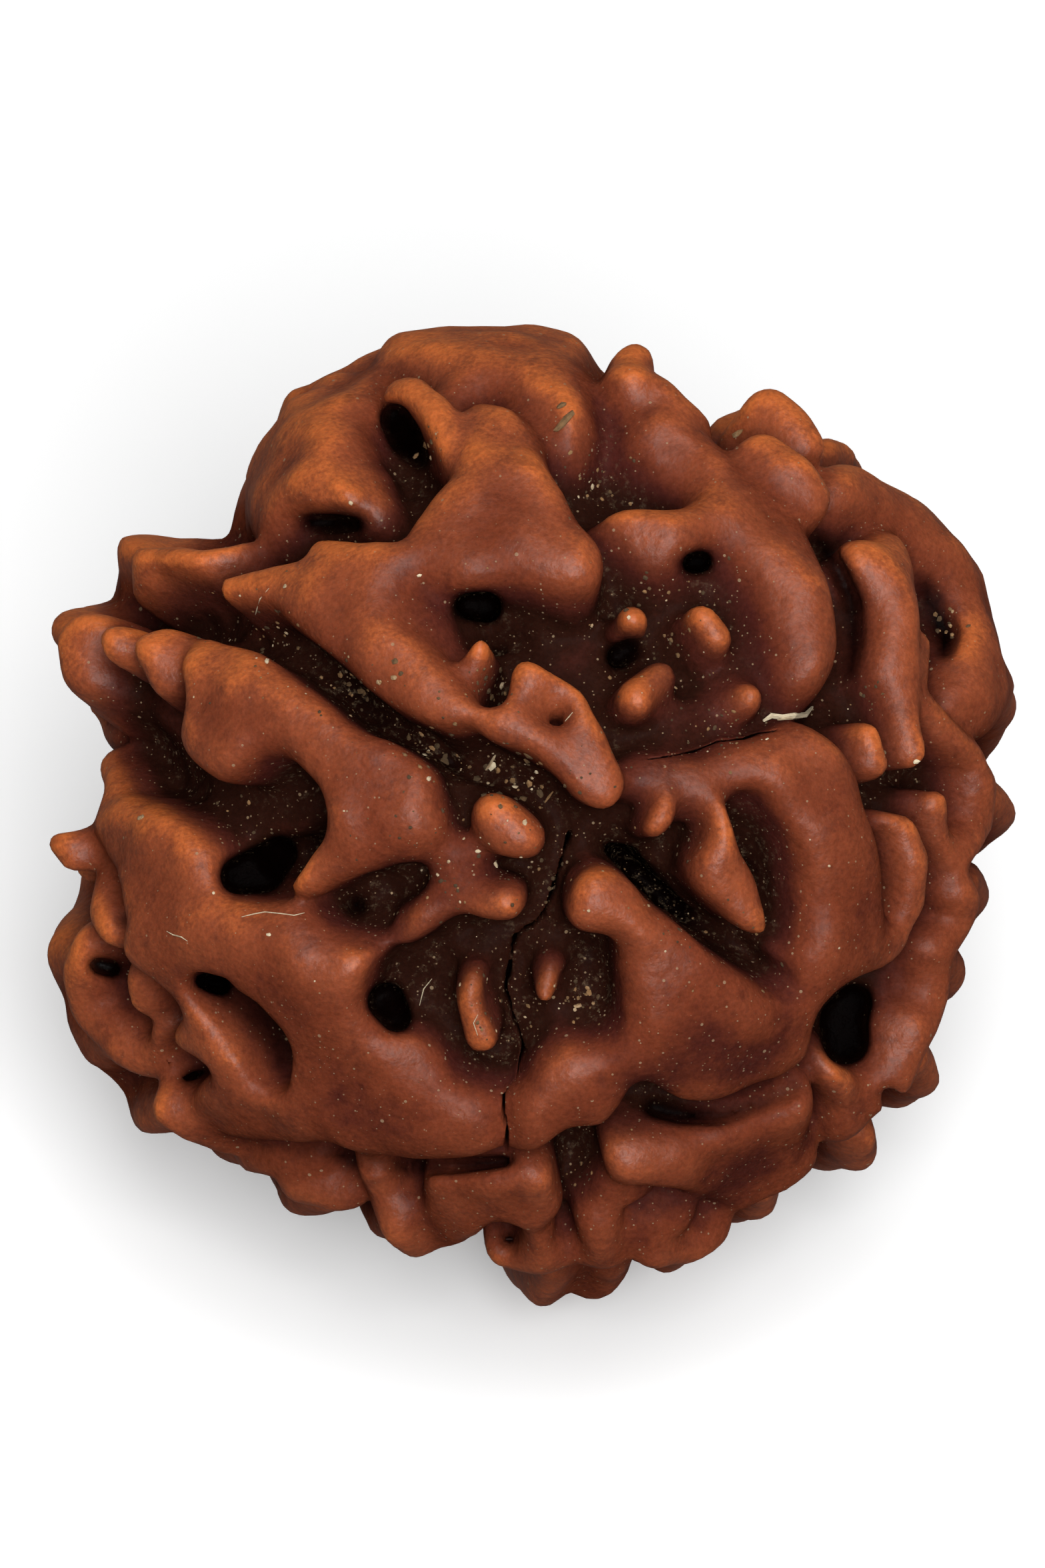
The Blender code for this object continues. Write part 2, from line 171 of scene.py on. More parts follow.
        (8.9, 7.1), (8.3, 7.3), (7.7, 7.4), (7.2, 7.7)]),
    "right_ridge": (0.0, 0.8, 0.4, 0.0, [
        (7.55, 6.35), (7.75, 6.75), (8.05, 6.8), (8.3, 6.75), (8.6, 7.1), (9.0, 6.9), (9.25, 6.3),
        (9.4, 5.6), (9.4, 4.9), (9.5, 4.2), (9.6, 3.3), (9.62, 2.3), (9.6, 1.2), (9.3, 0.9),
        (9.1, 1.5), (9.05, 2.4), (8.95, 3.0), (8.7, 3.3), (8.6, 4.0), (8.55, 4.8), (8.3, 5.4),
        (7.95, 5.8)]),
}

# Ridges and knobs: blend, then points of x, y, half-width and height over the
# crest shape.
RIDGES = {
    "tail": (0.35, [(-7.35, 5.6, .35, -.1), (-6.7, 5.6, .5, -.15), (-5.9, 5.6, .6, -.2)]),
    "brow_bar": (0.5, [(-6.1, 7.9, .4, .05), (-5.3, 8.0, .45, .05), (-4.5, 7.75, .4, -.2)]),
    "brow_slope": (0.7, [(-3.9, 8.2, .5, -.8), (-3.7, 7.3, .6, -.8)]),
    "bank_bump": (0.3, [(-5.15, 6.6, .3, -.1)]),
    "bank_crest": (0.5, [(-3.7, 4.1, .5, .1), (-2.8, 3.3, .5, .15), (-1.8, 2.6, .4, .1)]),
    "spike": (0.25, [(-1.5, 3.25, .42, -.55), (-1.3, 3.7, .33, -.25), (-1.15, 4.1, .24, -.05)]),
    "arch": (0.4, [(-3.3, 10.35, .45, .05), (-2.8, 10.4, .48, .15), (-2.3, 10.0, .45, .15),
                   (-2.0, 9.4, .36, .05), (-1.87, 8.8, .28, -.25)]),
    "left_bar": (0.4, [(-9.5, 5.6, .5, -.2), (-9.5, 6.1, .5, .1), (-8.9, 6.3, .5, 0),
                       (-8.0, 6.2, .45, 0), (-7.4, 6.35, .4, 0), (-7.05, 6.45, .32, -.1)]),
    "left_knob_a": (0.3, [(-11.1, 4.75, .6, .25), (-11.3, 4.3, .66, .15), (-11.25, 3.75, .62, .1)]),
    "left_knob_b": (0.3, [(-10.3, 4.5, .42, .35), (-10.25, 4.1, .4, .2)]),
    "left_knob_c": (0.35, [(-9.3, 4.25, .68, .25), (-9.1, 3.45, .55, -.1)]),
    "left_slope": (0.5, [(-11.0, 3.2, .6, -.2), (-10.5, 2.5, .6, -.5)]),
    "nub": (0.3, [(-8.6, 2.7, .25, -1.0)]),
    "left_bump": (0.5, [(-10.5, 1.2, .5, -.4), (-10.2, 0.5, .5, -.5), (-10.4, -0.2, .5, -.5)]),
    "thorn_base": (0.4, [(-11.0, -1.3, .5, -.1)]),
    "thorn": (0.3, [(-11.2, -1.0, .42, .4), (-11.6, -.85, .36, .8), (-11.95, -.72, .22, 1.1)]),
    "left_lump": (0.4, [(-10.4, -1.6, .45, -.2), (-10.4, -2.3, .5, -.1), (-10.1, -2.95, .4, -.1)]),
    "left_wing": (0.45, [(-11.0, -3.3, .6, .1), (-11.2, -4.1, .65, .15), (-10.95, -4.95, .65, .15),
                        (-10.2, -5.7, .6, .1), (-9.6, -6.2, .55, .1)]),
    "left_knob_d": (0.4, [(-9.6, -4.0, .4, -.2), (-9.5, -4.7, .42, -.2)]),
    "left_rib": (0.4, [(-9.1, -5.3, .32, -.35), (-9.2, -6.0, .4, -.2), (-8.8, -6.3, .4, -.3)]),
    "left_foot": (0.4, [(-9.1, -7.4, .5, .5), (-8.3, -7.85, .5, .35), (-7.5, -8.15, .5, .1)]),
    "low_bar": (0.4, [(-6.9, -8.5, .5, 0), (-6.0, -8.6, .5, -.1), (-5.2, -8.6, .45, -.3)]),
    "low_knob_a": (0.35, [(-5.7, -9.4, .6, .3), (-5.0, -9.6, .6, .2), (-4.55, -9.6, .5, .1)]),
    "low_knob_b": (0.35, [(-4.05, -8.7, .45, -.1), (-3.7, -9.4, .45, 0), (-3.3, -10.1, .55, .35),
                         (-2.7, -10.55, .5, .3)]),
    "low_ring": (0.35, [(-0.55, -11.0, .6, 0), (-0.2, -11.15, .6, .05), (0.4, -11.15, .6, .05),
                       (0.9, -11.0, .5, 0)]),
    "low_stem": (0.4, [(0.25, -10.4, .4, -.1), (0.3, -11.1, .4, 0)]),
    "low_knob_c": (0.35, [(1.75, -10.2, .5, .1), (1.85, -11.1, .55, .3)]),
    "low_knob_d": (0.4, [(3.0, -10.3, .7, 0), (3.75, -9.95, .6, 0)]),
    "low_rim": (0.35, [(3.2, -11.0, .45, .5), (4.0, -10.9, .5, .5), (4.7, -10.3, .5, .3)]),
    "shelf_lip": (0.3, [(1.9, -9.3, .35, -.35), (2.4, -9.4, .35, -.35), (2.9, -9.2, .3, -.45)]),
    "right_foot": (0.4, [(5.3, -9.5, .45, .1), (6.2, -9.05, .45, .1), (7.0, -8.5, .45, .1),
                         (7.5, -8.0, .5, .1), (7.9, -7.6, .5, .1)]),
    "right_column": (0.45, [(7.4, -6.4, .5, -.3), (7.9, -6.9, .5, -.2), (8.1, -7.6, .5, .1)]),
    "hole_rim": (0.6, [(9.1, -4.2, .4, -.7), (9.1, -5.0, .45, -.9), (8.8, -6.1, .5, -.5)]),
    "right_leg": (0.45, [(10.3, -3.6, .6, 0), (10.0, -4.6, .65, .05), (9.6, -5.4, .6, .1),
                       (9.4, -6.3, .6, .2), (8.9, -7.1, .55, .25)]),
    "right_arc": (0.4, [(8.8, -0.2, .3, -.3), (9.3, -0.5, .45, -.1), (9.5, -1.3, .5, 0),
                        (9.45, -2.3, .5, 0), (9.2, -3.0, .5, 0), (8.7, -3.5, .45, -.1)]),
    "right_lump_a": (0.45, [(11.2, 0.7, .6, 0), (11.2, -0.3, .6, 0), (10.8, -0.9, .5, 0)]),
    "right_lump_b": (0.4, [(10.75, -1.95, .5, .1), (10.9, -2.35, .5, .1), (10.6, -2.95, .5, 0),
                           (10.2, -3.4, .5, 0)]),
    "right_ledge": (0.4, [(10.0, 0.2, .4, -.25), (10.2, -0.6, .4, -.25), (10.4, -1.2, .3, -.25)]),
    "right_vee": (0.4, [(9.8, 2.8, .35, -.3), (10.4, 2.0, .4, -.2), (11.0, 1.4, .4, -.1)]),
    "knob_e": (0.35, [(8.5, 2.0, .35, -.15), (8.55, 1.2, .4, -.25)]),
    "tongue": (0.3, [(9.8, 4.3, .28, -.1), (9.72, 3.4, .3, -.2)]),
    "high_knob_a": (0.3, [(5.9, 9.05, .6, .5), (6.45, 8.6, .68, .55), (7.05, 7.95, .62, .45)]),
    "high_knob_b": (0.3, [(6.05, 10.25, .52, .85), (6.5, 9.8, .55, .7), (6.95, 9.2, .45, .5)]),
    "green_bit": (0.35, [(5.3, 9.4, .3, -.7)]),
    "horn": (0.3, [(2.62, 11.25, .5, 1.1), (2.62, 10.85, .58, 1.0), (2.9, 10.6, .52, .7)]),
    "horn_tail": (0.4, [(3.4, 10.4, .42, .6), (4.0, 9.85, .36, .35), (4.3, 9.6, .3, .1)]),
    "knob_g": (0.45, [(-1.3, -2.2, .45, -.5), (-0.5, -2.2, .52, -.3)]),
    "slant": (0.6, [(-1.7, -1.2, .7, -.7), (-2.0, -2.1, .6, -.7), (-3.0, -2.8, .5, -.5)]),
    "ledge": (0.35, [(5.75, -3.1, .25, -.9), (6.3, -3.7, .35, -.7)]),
    "saddle": (0.7, [(2.8, 0.9, .7, -.9), (4.2, 0.7, .8, -.7), (5.2, 1.2, .7, -.45)]),
    "crescent": (0.3, [(3.35, 0.4, .25, -.5), (3.32, 0.0, .32, -.3), (3.08, -0.35, .28, -.35)]),
    "seed": (0.35, [(0.6, -3.8, .35, -1.1), (0.4, -4.45, .3, -.7)]),
    "bean": (0.35, [(-1.35, -4.1, .28, -.8), (-1.5, -4.6, .32, -.65), (-1.35, -5.1, .34, -.55),
                    (-1.15, -5.6, .46, -.4)]),
    "knob_one": (0.3, [(2.65, 4.85, .42, -.4)]),
    "knob_two": (0.3, [(4.35, 4.95, .34, -.35), (4.75, 4.4, .4, -.4)]),
    "knob_three": (0.35, [(2.72, 2.88, .5, -.35), (3.3, 3.4, .45, -.85)]),
    "knob_four": (0.35, [(5.5, 2.85, .45, -.45)]),
    "knob_ground": (0.7, [(3.6, 2.3, .7, -1.5), (4.8, 2.6, .6, -1.4), (5.4, 4.2, .5, -1.5)]),
    "rim_ground": (0.7, [(1.6, 8.6, .5, -1.3), (2.9, 8.3, .5, -1.6), (3.2, 5.6, .6, -1.5),
                         (4.6, 5.2, .5, -1.5)]),
    "bank_slope": (0.7, [(-3.1, 4.95, .6, -.5), (-2.4, 4.6, .55, -.8), (-1.95, 4.0, .4, -1.0)]),
}

# Pits and grooves: blend, then points of x, y, half-width and floor.
PITS = {
    "groove_a": (0.3, [(-8.6, 4.9, .3, -1.6), (-7.2, 4.6, .35, -1.9), (-6.2, 4.35, .4, -2.3),
                       (-5.3, 3.65, .4, -2.6), (-4.3, 2.75, .36, -2.8), (-3.4, 2.2, .28, -2.8),
                       (-2.4, 1.65, .32, -2.8), (-1.5, 1.2, .4, -2.6), (-0.3, 1.0, .4, -2.4),
                       (0.5, 0.4, .35, -2.4), (1.0, -0.4, .28, -2.4)]),
    "seam": (0.4, [(0.95, -0.6, .25, -2.3), (0.75, -1.5, .3, -2.2), (0.4, -2.4, .3, -2.2),
                   (-0.1, -3.1, .35, -2.2), (-0.35, -4.1, .4, -2.2), (-0.35, -5.0, .4, -2.2),
                   (-0.15, -5.8, .3, -1.9), (-0.35, -6.5, .15, -1.2)]),
    "groove_c": (0.3, [(2.0, -0.8, .2, -2.6), (3.1, -1.4, .42, -3.8), (3.9, -2.3, .42, -4.0),
                       (4.7, -3.0, .37, -3.8), (5.5, -3.5, .3, -3.0), (6.2, -3.95, .22, -2.2)]),
    "cleft": (0.25, [(7.8, 3.1, .36, -3.8), (8.0, 4.1, .38, -3.6), (7.95, 5.1, .36, -3.4),
                     (7.6, 5.95, .3, -3.0), (7.1, 6.7, .22, -2.6)]),
    "shelf_gap": (0.3, [(2.8, -7.0, .28, -3.0), (3.6, -7.35, .24, -3.0), (4.6, -7.3, .2, -3.0),
                        (5.6, -7.05, .17, -2.6), (6.5, -6.65, .12, -2.0)]),
    "tower_side": (0.5, [(-1.0, 5.0, .35, -3.2), (-0.3, 5.1, .25, -2.8)]),
    "brow_groove": (0.5, [(-5.8, 7.05, .2, -1.6), (-4.9, 7.1, .3, -2.4), (-3.9, 7.1, .35, -2.4),
                          (-3.3, 7.5, .3, -2.0)]),
    "rim_valley": (0.5, [(3.1, 7.95, .3, -2.1), (3.7, 8.0, .28, -2.2)]),
    "ear_dish": (0.4, [(0.62, 2.45, .5, -.35)]),
    "ear_pit": (0.2, [(0.7, 2.28, .28, -1.5)]),
    "big_hollow": (0.45, [(-6.7, -1.3, .65, -3.4), (-6.0, -1.0, .6, -3.2), (-5.7, -0.2, .55, -2.6)]),
    "big_hollow_top": (0.6, [(-6.3, 0.5, .6, -1.6), (-7.2, -0.3, .5, -1.5)]),
    "small_hollow": (0.6, [(-4.5, -2.2, .25, -1.3), (-3.9, -2.1, .35, -2.2), (-3.2, -1.8, .3, -2.0)]),
    "small_hollow_slope": (0.6, [(-4.6, -2.7, .4, -.6), (-3.5, -2.6, .5, -.9)]),
    "left_valley": (0.5, [(-2.6, -3.9, .35, -2.2), (-1.6, -3.0, .35, -1.9)]),
    "cave": (0.25, [(-7.7, -4.25, .5, -3.0), (-7.0, -4.85, .75, -3.0), (-6.45, -5.5, .8, -2.6),
                    (-6.15, -6.2, .55, -1.7)]),
    "club_hollow": (0.5, [(1.7, -3.9, .3, -2.2), (1.7, -5.0, .3, -2.2)]),
    "spear_valley": (0.6, [(5.5, 0.2, .28, -1.2), (6.05, -0.9, .32, -2.1), (6.2, -1.8, .36, -2.8),
                            (6.2, -2.8, .3, -2.4)]),
    "arc_pit": (0.4, [(9.3, -4.4, .32, -1.2)]),
    "recess": (0.4, [(1.15, -8.1, .5, -2.6), (1.2, -9.1, .42, -2.3)]),
    "knuckle_notch": (0.35, [(-0.5, -10.5, .25, -2.0)]),
    "ring_slot": (0.35, [(0.95, -10.3, .2, -2.2)]),
    "arc_slot": (0.3, [(8.72, -0.5, .12, -1.8), (8.88, -1.5, .16, -2.4), (8.88, -2.6, .12, -1.8)]),
    "shelf_side": (0.25, [(7.12, -6.3, .1, -1.5), (7.15, -7.3, .12, -1.6), (6.85, -8.4, .1, -1.0)]),
}

# Holes and slots that go straight down from the face, their insides painted black as shade: blend, how
# strongly that painted shade darkens them, then points of x, y, half-width and how far over the middle
# plane the floor lies.
HOLES = {
    "tower_hole": (0.3, 1, [(-1.45, 4.98, .32, 6.3), (-1.0, 4.95, .38, 6.3)]),
    "rim_hole": (0.4, 1, [(3.9, 6.0, .24, 5.5), (4.15, 6.05, .28, 5.5)]),
    "knob_hole": (0.3, 1, [(2.15, 3.75, .3, 7.2), (2.45, 3.95, .25, 7.2)]),
    "arch_hole": (0.25, 1, [(-3.2, 9.5, .38, 2.0), (-2.95, 9.05, .42, 2.5), (-2.6, 8.55, .25, 4.0)]),
    "brow_hole": (0.45, 1, [(-5.2, 7.0, .2, 4.8), (-4.6, 6.98, .22, 4.8), (-4.1, 6.95, .15, 5.2)]),
    "big_hole": (0.35, 1, [(-6.95, -1.5, .45, 4.5), (-6.4, -1.35, .58, 4.5), (-5.95, -0.95, .42, 5.0)]),
    "small_hole": (0.35, 1, [(-4.1, -2.2, .2, 7.6)]),
    "left_hole": (0.3, 1, [(-3.4, -4.5, .46, 6.5), (-3.15, -4.9, .36, 6.8)]),
    "cave_hole": (0.2, 1, [(-7.85, -4.0, .2, 3.2), (-7.35, -4.15, .24, 3.2)]),
    "crevice": (0.15, 1, [(-8.25, -6.4, .14, 2.5), (-7.75, -6.2, .1, 3.0)]),
    "low_right_hole": (0.2, 1, [(7.85, -4.55, .45, 1.5), (7.6, -5.0, .58, 1.5), (7.65, -5.5, .56, 1.5)]),
    "right_hole": (0.2, 1, [(9.65, 5.5, .28, 2.6), (9.85, 4.9, .32, 2.4), (10.1, 4.3, .3, 2.4),
                         (10.05, 3.95, .22, 3.0)]),
    "leg_hole": (0.2, 1, [(8.7, -6.8, .24, 2.5)]),
    "wing_hole": (0.3, 1, [(-10.4, -3.65, .2, 1.5), (-10.0, -3.75, .22, 1.5)]),
    "lump_hole": (0.15, 1, [(-9.72, -2.6, .12, 2.5)]),
    "knuckle_hole": (0.2, 1, [(-0.45, -10.25, .16, 2.0)]),
    "chin_hole": (0.2, 1, [(3.0, -7.05, .22, 5.8), (3.7, -7.25, .2, 5.8), (4.6, -7.3, .17, 6.0),
                          (5.6, -7.02, .15, 6.0), (6.5, -6.6, .1, 5.8)]),
    "cleft_slot": (0.15, .9, [(7.75, 3.3, .16, 6.0), (7.85, 4.1, .21, 5.4), (7.8, 5.1, .22, 5.0),
                              (7.45, 5.9, .2, 4.9), (7.0, 6.6, .17, 4.8)]),
    "south_slot": (0.15, .85, [(-6.9, -7.95, .14, 3.8), (-5.7, -8.1, .15, 5.0), (-4.6, -8.22, .16, 5.4),
                               (-3.4, -8.5, .17, 5.7), (-2.2, -8.5, .17, 6.0), (-1.0, -8.4, .17, 6.2),
                               (-0.45, -8.33, .14, 6.2)]),
    "cave_shade": (0.4, .6, [(-7.45, -4.35, .2, 6.6), (-6.75, -4.8, .3, 6.6), (-6.25, -5.4, .32, 6.5),
                             (-5.98, -6.0, .2, 6.4)]),
}
FAR_LIMIT = 9.6

# Bars over the rim of the face: place around it, half-width, height.
WAIST = [
    (0, .7, -.1), (13, .7, .1), (25, .65, 0), (38, .7, -.1), (49, .6, -.1), (60, .55, .1),
    (77, .5, .1), (90, .7, -.2), (101, .8, 0), (113, .7, -.2), (124, .7, -.3), (133, .6, -.5),
    (146, .7, .1), (157, .6, .15), (167, .6, -.3), (176, .6, -.8), (185, .5, -.5),
    (197, .7, .1), (208, .7, .1), (218, .7, .1), (229, .65, 0), (240, .7, .1), (253, .7, 0),
    (272, .6, -.1), (279, .6, 0), (289, .6, .1), (300, .6, .1), (314, .65, .1), (326, .6, .1),
    (339, .6, -.2), (349, .6, -.2)]


def face_axes():
    """The face's own right, up and outward directions, in the row frame."""
    tilt = math.radians(FACE_TILT_DEG)
    up = [0.0, math.sin(tilt), math.cos(tilt)]
    toward = [0.0, -math.cos(tilt), math.sin(tilt)]
    return np.array([[1.0, 0.0, 0.0], up, toward])


AXES = face_axes()
MIDDLE = np.array([0.0, 0.0, MIDDLE_HEIGHT])


def to_row(points):
    """Plan millimetres to the row frame's metres."""
    return (points @ AXES + MIDDLE) * MM


def to_plan(places):
    """The row frame's metres to plan millimetres."""
    return (places / MM - MIDDLE) @ AXES.T


def rim_factor(x, y, z, radius):
    """How much the outline of the face draws the crest shape in or out."""
    places = np.array([place for place, _ in RIM] + [360.0])
    ratios = np.array([reach for _, reach in RIM] + [RIM[0][1]]) / CREST[0]
    around = np.degrees(np.arctan2(y, x)) % 360.0
    edge = np.clip(1.0 - (z / radius) ** 2, 0, 1) ** 3
    return 1.0 + edge * (np.interp(around, places, ratios) - 1.0)


def crest_radius(directions):
    """How far the crest shape is from the middle along unit directions."""
    plain = 1.0 / np.linalg.norm(directions / np.array(CREST), axis=-1)
    x, y, z = np.moveaxis(np.asarray(directions, float), -1, 0)
    return plain * rim_factor(x, y, z, 1.0)


def lifted(x, y, height=0.0):
    """Unit direction of a plan point of the near half that lies at a height over the crest."""
    aside = math.hypot(x, y)
    radius = CREST[0]
    for _ in range(4):
        out = min(aside / (radius + height), 1.0)
        way = np.array([x / aside * out, y / aside * out, math.sqrt(1.0 - out * out)])
        radius = float(crest_radius(way))
    return way


def near(direction):
    return direction


def far(direction):
    """The same place on the far half: a half turn about an axis in the plan."""
    angle = math.radians(TURN_AXIS_DEG)
    axis = np.array([math.cos(angle), math.sin(angle), 0.0])
    return 2.0 * (direction @ axis)[..., None] * axis - direction


def softened(outline, rounds=2):
    """A closed outline with its corners cut."""
    points = np.array(outline, float)
    for _ in range(rounds):
        after = np.roll(points, -1, axis=0)
        both = np.stack([0.75 * points + 0.25 * after, 0.25 * points + 0.75 * after], axis=1)
        points = both.reshape(-1, 2)
    return points


def to_segment(x, y, start, end):
    """How far places in a plane are from a straight piece, and where along it, 0 to 1."""
    ex, ey = end[0] - start[0], end[1] - start[1]
    dx, dy = x - start[0], y - start[1]
    along = np.clip((dx * ex + dy * ey) / (ex * ex + ey * ey + TINY), 0, 1)
    return np.hypot(dx - along * ex, dy - along * ey), along


def outline_distance(u, v, outline):
    """Distance to a closed outline in a plane, below zero inside it."""
    nearest = np.full(u.shape, FAR_OFF, np.float32)
    inside = np.zeros(u.shape, bool)
    for start, end in zip(np.roll(outline, 1, axis=0), outline):
        nearest = np.minimum(nearest, to_segment(u, v, start, end)[0])
        rise = end[1] - start[1]
        if abs(rise) > TINY:
            crossed = (start[1] > v) != (end[1] > v)
            inside ^= crossed & (u < (end[0] - start[0]) * (v - start[1]) / rise + start[0])
    return np.where(inside, -nearest, nearest)


def waves(x, y, z, seed, scale, size, count):
    """Smooth irregular variation: a few waves in seeded directions."""
    rng = np.random.default_rng(seed)
    total = 0
    for _ in range(count):
        way = rng.normal(size=3)
        way = way / np.linalg.norm(way) / (scale * rng.uniform(0.7, 1.4))
        phase = (x * way[0] + y * way[1] + z * way[2]) * 2 * math.pi
        total = total + np.sin(phase + rng.uniform(0, 2 * math.pi))
    return total * size / math.sqrt(count)


class Clay:
    """A field over a grid that is below zero inside the bead."""

    def __init__(self):
        self.count = int(round(2 * GRID_HALF / CELL)) + 1
        self.axis = np.linspace(-GRID_HALF, GRID_HALF, self.count).astype(np.float32)
        self.step = float(self.axis[1] - self.axis[0])
        x, y, z = np.meshgrid(self.axis, self.axis, self.axis, indexing="ij", sparse=True)
        self.radius = np.maximum(np.sqrt(x * x + y * y + z * z), 0.05)
        stretched = np.sqrt((x / CREST[0]) ** 2 + (y / CREST[1]) ** 2 + (z / CREST[2]) ** 2)
        self.crest = self.radius / np.maximum(stretched, 1e-4) * rim_factor(x, y, z, self.radius)
        ripple = sum(waves(x, y, z, *wave) for wave in PLATE_WAVES)
        self.level = (self.radius - self.crest + ripple).astype(np.float32)
        self.field = (self.level - VALLEY + waves(x, y, z, *FLOOR_WAVE)).astype(np.float32)

    def rubble(self):
        """Crumbly ground in the deep places, and a slightly uneven skin."""
        x, y, z = np.meshgrid(self.axis, self.axis, self.axis, indexing="ij", sparse=True)
        deep = np.clip(RUBBLE_LEVEL - self.level, 0, 1)
        self.field += (waves(x, y, z, *RUBBLE_WAVE) * deep).astype(np.float32)
        self.field += waves(x, y, z, *SKIN_WAVE).astype(np.float32)

    def window(self, anchors, margin):
        """The part of the grid around some points."""
        anchors = np.array(anchors)
        low = np.floor((anchors.min(axis=0) - margin + GRID_HALF) / self.step).astype(int)
        high = np.ceil((anchors.max(axis=0) + margin + GRID_HALF) / self.step).astype(int) + 1
        low = np.clip(low, 0, self.count - 1)
        high = np.clip(high, 1, self.count)
        return tuple(slice(a, b) for a, b in zip(low, high))

    def on_crest(self, part):
        """Points of a part of the grid, moved out or in to the crest shape."""
        x, y, z = np.meshgrid(*(self.axis[s] for s in part), indexing="ij", sparse=True)
        ratio = self.crest[part] / self.radius[part]
        return x * ratio, y * ratio, z * ratio

    def add(self, part, shape, blend):
        old = self.field[part]
        meeting = np.maximum(blend - np.abs(old - shape), 0) / blend
        self.field[part] = np.minimum(old, shape) - meeting * meeting * blend * 0.25

    def cut(self, part, shape, blend):
        old = self.field[part]
        meeting = np.maximum(blend - np.abs(old + shape), 0) / blend
        self.field[part] = np.maximum(old, -shape) + meeting * meeting * blend * 0.25

    def route(self, ways, widths, heights, other_end):
        """Part of the grid round a line, with each cell's distance to it and level over it."""
        part = self.window(anchor_points(ways, heights, other_end), max(widths) + MARGIN)
        away, height = route_distance(self.on_crest(part), ways, widths, heights)
        return part, away, self.level[part] - height

    def ridge(self, ways, widths, heights, blend):
        part, away, over = self.route(ways, widths, heights, ROOT)
        away = away - RIDGE_SPLAY * np.maximum(-over - WALL_TOP, 0)
        self.add(part, rounded(away, over, min(0.75, 0.95 * min(widths) + 0.1)), blend)

    def pit(self, ways, widths, floors, blend):
        part, away, over = self.route(ways, widths, floors, OUTSIDE)
        self.cut(part, rounded(away, -over, max(0.08, min(0.5, min(widths)))), blend)

    def hole(self, turn, points, blend):
        """A hole under a line in the plan, straight down to its floor."""
        ends = [turn(np.array([x, y, z])) for x, y, _, floor in points for z in (floor, GRID_HALF)]
        part = self.window(ends, max(p[2] for p in points) + MARGIN)
        place = np.stack(np.meshgrid(*(self.axis[s] for s in part), indexing="ij"), axis=-1)
        away, floor = hole_distance(turn(place), points)
        over = floor - turn(place)[..., 2]
        self.cut(part, rounded(away, over, HOLE_EDGE).astype(np.float32), blend)

    def plate(self, ways, height, rounding, blend, splay):
        ways = np.array(ways)
        middle = ways.mean(axis=0)
        middle /= np.linalg.norm(middle)
        side = np.cross([0.3, 1.0, 0.2], middle)
        side /= np.linalg.norm(side)
        up = np.cross(middle, side)
        nodes = ways * crest_radius(ways)[:, None]
        part = self.window(anchor_points(ways, [height] * len(ways), ROOT), MARGIN)
        place = self.on_crest(part)
        u, v, ahead = (sum(p * e for p, e in zip(place, way)) for way in (side, up, middle))
        away = outline_distance(u, v, np.column_stack([nodes @ side, nodes @ up]))
        away = np.where(ahead > 0, away, FAR_OFF)
        over = self.level[part] - height
        away = away - splay * np.maximum(-over - WALL_TOP, 0)
        self.add(part, rounded(away, over, rounding), blend)


def anchor_points(ways, heights, other):
    """Where a shape starts and ends along its directions."""
    points = []
    for way, height in zip(ways, heights):
        radius = crest_radius(way)
        points += [way * (radius + height), way * (radius + other)]
    return points


def rounded(a, b, radius):
    """Inside both a and b, with the edge where they meet rounded."""
    outer = np.hypot(np.maximum(a + radius, 0), np.maximum(b + radius, 0))
    return outer + np.minimum(np.maximum(a, b) + radius, 0) - radius


def route_distance(place, ways, widths, heights):
    """Distance to a line on the crest shape less its half-width, and its height."""
    nodes = list(zip([way * crest_radius(way) for way in ways], widths, heights))
    total, weight, nearest = 0, 0, FAR_OFF
    for (start, width, height), (end, end_width, end_height) in zip(nodes, nodes[1:] or nodes):
        span = end - start
        offset = [p - s for p, s in zip(place, start)]
        along = sum(o * e for o, e in zip(offset, span)) / (span.dot(span) + TINY)
        along = np.clip(along, 0, 1)
        away = np.sqrt(sum((o - along * e) ** 2 for o, e in zip(offset, span)))
        away = away - width - along * (end_width - width)
        share = np.exp(-6.0 * np.clip(away, -2, 6))
        total = total + share * (height + along * (end_height - height))
        weight = weight + share
        nearest = np.minimum(nearest, away)
    return nearest, total / np.maximum(weight, 1e-20)


def hole_distance(place, points):
    """Distance in the plan to a line less its half-width, and the floor there."""
    x, y = place[..., 0], place[..., 1]
    nearest = np.full(x.shape, FAR_OFF)
    floor = np.zeros(x.shape)
    for start, end in zip(points, points[1:] or points):
        away, along = to_segment(x, y, start, end)
        away = away - start[2] - along * (end[2] - start[2])
        closer = away < nearest
        nearest = np.where(closer, away, nearest)
        floor = np.where(closer, start[3] + along * (end[3] - start[3]), floor)
    return nearest, floor


def hole_shade_share(points):
    """How much painted shade the holes put on each point, 0 to 1."""
    share = np.zeros(len(points))
    for turn in (near, far):
        turned = turn(points)
        # The second value of each hole is how strongly its inside is painted black as shade.
        for _, dark, line in HOLES.values():
            if not left_out(turn, line):
                away, _ = hole_distance(turned, line)
                inside = np.clip(0.5 - away / HOLE_SHADE, 0, 1) * (turned[:, 2] > 0)
                share = np.maximum(share, dark * inside)
    return share


def left_out(turn, points):
    """Whether a shape stands too near the rim to be repeated on the far half."""
    return turn is far and max(math.hypot(p[0], p[1]) for p in points) > FAR_LIMIT


